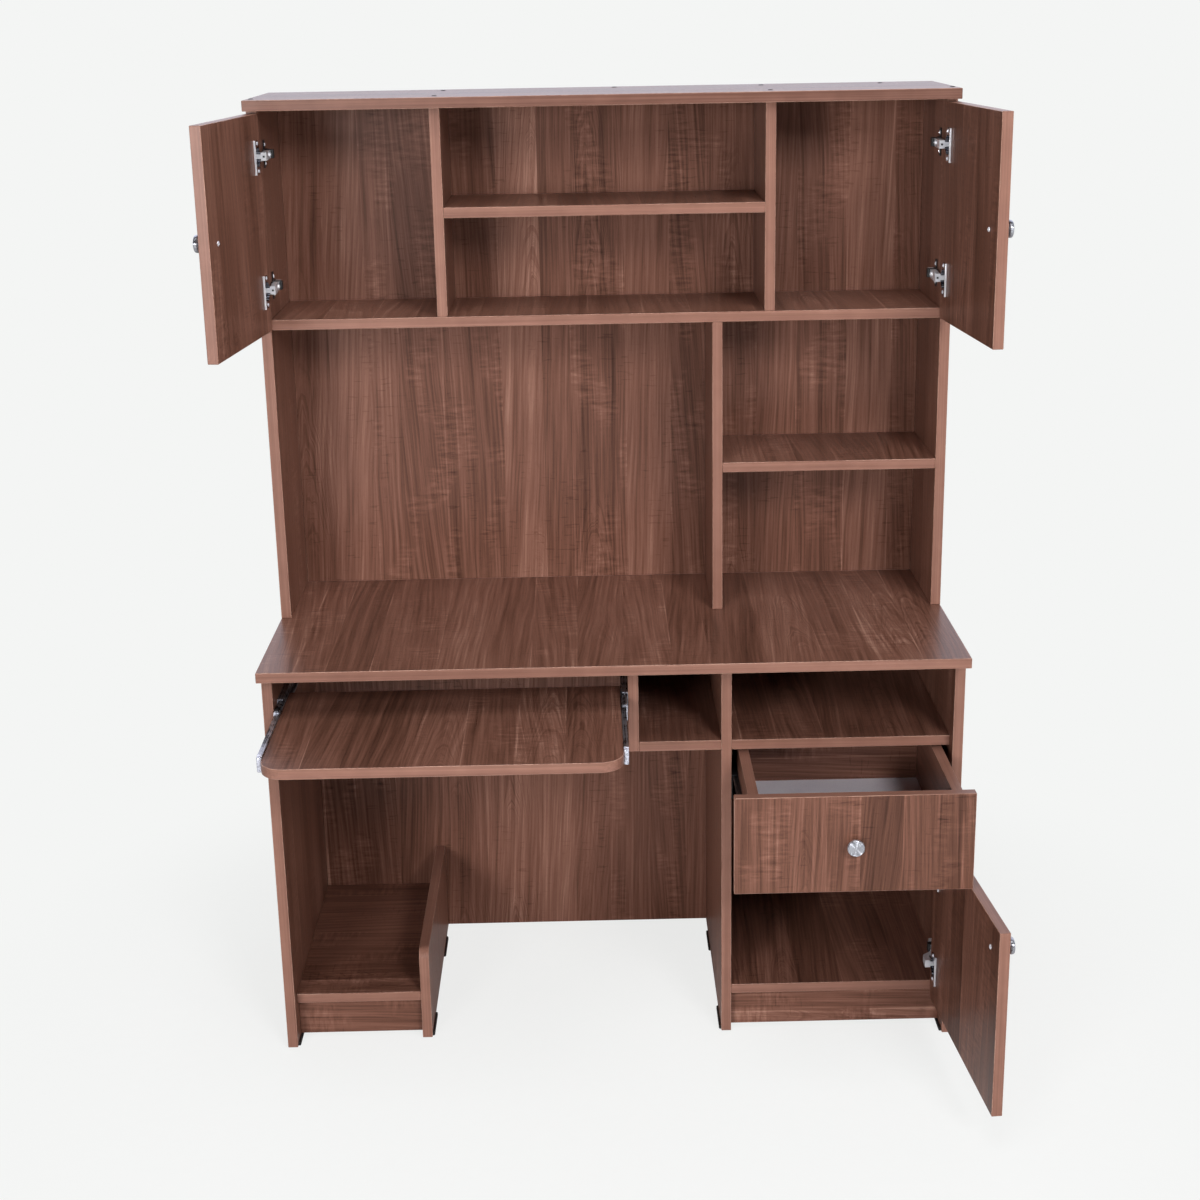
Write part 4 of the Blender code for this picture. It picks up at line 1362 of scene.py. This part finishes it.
@dataclass
class TelescopicSlide:
    """One three-part slide of the keyboard tray, with its bumpers and front bracket.

    The way is +1 where the tray lies on the +X side of the slide and -1 on the other.
    """

    side: str
    way: int
    bracket_length: float = 0.0122
    bracket_over: float = 0.0011
    bracket_ease: float = 0.0022
    fold_length: float = 0.0034
    fold_rise: float = 0.0012
    fold_ease: float = 0.0005
    screw: ScrewHead = ScrewHead(0.0030, 0.0004)
    screw_sink: float = 0.0002
    screw_ahead: float = 0.0012
    bumper_length: float = 0.0032
    bumper_web: float = 0.0020
    clip_length: float = 0.0040
    clip_web: float = 0.0013
    clearance: float = 0.0003
    bead: float = 0.0021

    def node(self, part: str) -> str:
        """The node's name of one member."""
        return f"tray_slide_{self.side}_{part}"

    def dress(self, palette: Palette) -> None:
        """Dress the members and add the small front pieces.

        Args:
            palette: The desk's finishes.
        """
        for part in ("channel", "middle", "rail"):
            dress_plain(self.node(part), palette.rolled_zinc)
        self.add_bracket(palette)
        middle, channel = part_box(self.node("middle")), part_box(self.node("channel"))
        rims = (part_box(self.node("rail"))[1].z + self.clearance, middle[1].z - self.bead)
        bumper = self.mouth(middle, self.bumper_length, rims, self.bumper_web)
        add_piece(self.node("bumper"), bumper, palette.bright_zinc, "tray_slide_middles")
        rims = (middle[1].z + self.clearance, channel[1].z)
        clip = self.mouth(channel, self.clip_length, rims, self.clip_web)
        add_piece(self.node("clip"), clip, palette.bright_zinc, "carcass")

    def add_bracket(self, palette: Palette) -> None:
        """The folded bracket at the rail's front end, beside the tray.

        Args:
            palette: The desk's finishes.
        """
        low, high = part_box(self.node("rail"))
        front, back = low.y - self.bracket_length, low.y - self.clearance
        bottom, top = low.z - self.bracket_over, high.z + self.bracket_over
        x = (low.x, high.x)
        work = bmesh.new()
        add_block(work, x, (front, back), (bottom, top), self.bracket_ease)
        fold = (low.y - self.fold_length, back)
        add_block(work, x, fold, (bottom, top + self.fold_rise), self.fold_ease)
        outer = low.x if self.way > 0 else high.x
        ahead = (front + back) / 2 - self.screw_ahead
        spot = (outer + self.way * self.screw_sink, ahead, (low.z + high.z) / 2)
        self.screw.add_to(work, pointing(spot, (-self.way, 0, 0)))
        add_piece(self.node("bracket"), work, palette.bright_zinc, "keyboard_tray")

    def mouth(self, box: Box, length: float, rims: Span, web: float) -> bmesh.types.BMesh:
        """A bow in front of a member's mouth, open towards the tray.

        Args:
            box: Corners of the member.
            length: How far the bow stands in front of the member.
            rims: Heights of the top of the bow's opening and of the bow itself.
            web: Thickness of the bow beside the member's web.

        Returns:
            The bow's mesh.
        """
        low, high = box
        middle = (low.z + high.z) / 2
        inner, outer = (rim - middle for rim in rims)
        shut, mouth = (low.x, high.x) if self.way > 0 else (high.x, low.x)
        step = shut + self.way * web
        outline = [(mouth, outer), (shut, outer), (shut, -outer), (mouth, -outer)]
        outline += [(mouth, -inner), (step, -inner), (step, inner), (mouth, inner)]
        ends = (low.y - length, low.y - self.clearance)
        work = bmesh.new()
        add_skin(work, [[(x, y, middle + z) for x, z in outline] for y in ends])
        return work


@dataclass
class KeyboardTray:
    """The tray for a keyboard, on two telescopic slides."""

    tone: float = -0.05
    slides: tuple[TelescopicSlide, ...] = (TelescopicSlide("left", 1), TelescopicSlide("right", -1))

    def dress(self, palette: Palette) -> None:
        """Dress the board and slides.

        Args:
            palette: The desk's finishes.
        """
        Board("keyboard_tray_board", Axis.Z, Axis.Y, tone=self.tone).dress(palette)
        for slide in self.slides:
            slide.dress(palette)


@dataclass(frozen=True)
class Lamp:
    """A far square soft box that looks at the desk.

    The turn is its bearing in degrees from straight in front, to the right when positive. The slope is
    its rise for each metre of floor. The level is its light on a surface that faces it, where 1 shows a
    colour as written, and watts give that level at one metre.
    """

    name: str
    turn: float
    slope: float
    level: float
    far: float = 5.5
    size: float = 1.43
    aim: Point = (0.0, 0.1, 0.9)
    watts: float = 9.87

    def light(self) -> None:
        """Hang the lamp in the studio."""
        turn = math.radians(self.turn)
        away = Vector((math.sin(turn), -math.cos(turn), self.slope)) * self.far
        data = bpy.data.lights.new(self.name, "AREA")
        data.shape = "SQUARE"
        data.size = self.size
        data.energy = self.watts * away.length_squared * self.level
        lamp = bpy.data.objects.new(self.name, data)
        lamp.location = Vector(self.aim) + away
        lamp.rotation_mode = "QUATERNION"
        lamp.rotation_quaternion = (-away).to_track_quat("-Z", "Y")
        bpy.context.scene.collection.objects.link(lamp)
        LOG.info("lamp %s: %.0f W", self.name, data.energy)


@dataclass
class Studio:
    """Pale floor, soft lamps, backdrop and the camera.

    The floor's shadow fades out between two distances. The room lights the desk, and its sheen shows in
    gloss; each grows from its first level to its second as a ray turns from front to back in its span.
    """

    pale: Colour = (244, 245, 244)
    fill_span: Span = (-0.1, 0.6)
    fill_levels: Span = (0.02, 0.45)
    sheen: Colour = (226, 228, 242)
    sheen_span: Span = (0.10, 0.50)
    sheen_levels: Span = (0.06, 1.7)
    floor_size: float = 60.0
    floor_stops: Stops = ((0.2, (238, 238, 238)), (0.8, (243, 243, 243)))
    floor_mottle: Layer = Layer((40.0,) * 3, 3.0, 0.6)
    floor_roughness: float = 0.9
    shadow_share: float = 0.22
    shadow_span: Span = (1.45, 0.75)
    shadow_lift: float = 0.085
    lens: float = 57.332
    sensor: float = 36.0
    centre_shift: Spot = (-0.01112, -0.00912)
    clip_end: float = 200.0
    eye: Point = (-0.0357, -3.179247, 1.8331)
    yaw: float = -0.01181
    pitch: float = -0.29932
    roll: float = 0.0172
    lamps: tuple[Lamp, ...] = (
        Lamp("right_soft_box", 22.0, 0.491, 0.440),
        Lamp("left_soft_box", -25.0, 0.150, 0.440),
        Lamp("side_soft_box", 45.0, 0.109, 0.150),
        Lamp("top_soft_box", 0.0, 1.94, 0.400, far=1.7, size=2.0),
    )

    def build(self) -> None:
        """Set up everything round the desk."""
        for lamp in self.lamps:
            lamp.light()
        self.add_floor()
        self.set_world()
        self.set_camera()
        bpy.context.scene.view_settings.view_transform = "Standard"

    def add_floor(self) -> None:
        """The pale floor, which keeps a soft shadow close to the desk."""
        material = bpy.data.materials.new("pale_floor")
        graph = Graph(material)
        spot = graph.place()
        flat = graph.scaled(spot, (1.0, 1.0, 0.0))
        away = graph.node("VectorMath", {0: flat}, operation="LENGTH").outputs["Value"]
        mottle = self.floor_mottle.read(graph, spot)
        graph.surface(Base_Color=graph.ramp(mottle, self.floor_stops))
        graph.surface(Roughness=self.floor_roughness, Specular_IOR_Level=0.0)
        lit = graph.nodes["Principled BSDF"].outputs[0]
        glow = graph.node("Emission", {0: linear(self.pale), 1: 1.0}).outputs[0]
        lifted = graph.node("Emission", {0: linear(self.pale), 1: 1.0 + self.shadow_lift}).outputs[0]
        shaded = graph.mixed(self.shadow_share, lifted, lit)
        seen = graph.mixed(graph.eased(away, self.shadow_span), glow, shaded)
        path = graph.node("LightPath", {}).outputs
        shows = graph.maths("MAXIMUM", path["Is Camera Ray"], path["Is Transmission Ray"])
        graph.feed(graph.nodes["Material Output"].inputs["Surface"], graph.mixed(shows, lit, seen))
        work = bmesh.new()
        bmesh.ops.create_grid(work, x_segments=1, y_segments=1, size=self.floor_size / 2)
        fresh_piece("floor", work, material)

    def set_world(self) -> None:
        """A pale backdrop to look at, and for light and gloss a dim room with a bright end behind."""
        world = bpy.data.worlds.new("studio")
        bpy.context.scene.world = world
        graph = Graph(world)
        graph.nodes.clear()
        ray = graph.node("TexCoord", {}).outputs["Generated"]
        behind = graph.node("SeparateXYZ", {0: ray}).outputs[Axis.Y.value]
        fill = graph.eased(behind, self.fill_span, self.fill_levels)
        gloss = graph.eased(behind, self.sheen_span, self.sheen_levels)
        shown = graph.node("Background", {0: linear(self.pale), 1: fill}).outputs[0]
        sheen = graph.node("Background", {0: linear(self.sheen), 1: gloss}).outputs[0]
        backdrop = graph.node("Background", {0: linear(self.pale)}).outputs[0]
        path = graph.node("LightPath", {}).outputs
        for kind, light in (("Glossy", sheen), ("Camera", backdrop), ("Transmission", backdrop)):
            shown = graph.mixed(path[f"Is {kind} Ray"], shown, light)
        graph.node("OutputWorld", {"Surface": shown})

    def set_camera(self) -> None:
        """The camera, where the photograph was taken from."""
        data = bpy.data.cameras.new("camera")
        data.sensor_width = self.sensor
        data.lens = self.lens
        data.shift_x, data.shift_y = self.centre_shift
        data.clip_end = self.clip_end
        camera = bpy.data.objects.new("camera", data)
        bpy.context.scene.collection.objects.link(camera)
        turn = Matrix.Rotation(self.yaw, 3, "Z") @ Matrix.Rotation(self.pitch, 3, "X")
        turn = turn @ Matrix.Rotation(self.roll, 3, "Y")
        right, ahead, up = turn.col
        stand = Matrix((right, up, -ahead)).transposed().to_4x4()
        camera.matrix_world = Matrix.Translation(Vector(self.eye)) @ stand
        bpy.context.scene.camera = camera


def doors() -> list[Door]:
    """The three doors of the desk.

    Returns:
        The doors, in the order in which they are cut from the print.
    """
    upper = {"width": 0.327, "hinge_heights": (1.357, 1.5855), "knob_height": 1.47125}
    lower = {"width": 0.399, "hinge_heights": (0.141, 0.330), "knob_height": 0.355}
    upper_pin, upper_pin_back = 0.6015, 0.175653
    lower_pin, lower_pin_back = 0.583, -0.054347
    panel_face = 0.592
    left = Door(
        name="upper_left_door",
        turn=math.radians(-96.4),
        pin=(-upper_pin, upper_pin_back),
        inward=1,
        panel_face=-panel_face,
        tone=0.02,
        **upper,
    )
    right = Door(
        name="upper_right_door",
        turn=math.radians(94.8),
        pin=(upper_pin, upper_pin_back),
        inward=-1,
        panel_face=panel_face,
        # The right door's darker sheet is painted shade for its open inner face.
        tone=-0.10,
        **upper,
    )
    pedestal = Door(
        name="pedestal_door",
        turn=math.radians(94.7),
        pin=(lower_pin, lower_pin_back),
        inward=-1,
        panel_face=panel_face,
        # The pedestal door's darker sheet is painted shade for its open inner face.
        tone=-0.19,
        **lower,
    )
    return [left, right, pedestal]


def main() -> None:
    """Dress the desk and set up the studio."""
    logging.basicConfig(level=logging.INFO, format="%(name)s: %(message)s")
    palette = Palette()
    for assembly in (Carcass(), Hutch(), *doors(), Drawer(), KeyboardTray()):
        assembly.dress(palette)
    Studio().build()


if __name__ == "__main__":
    main()
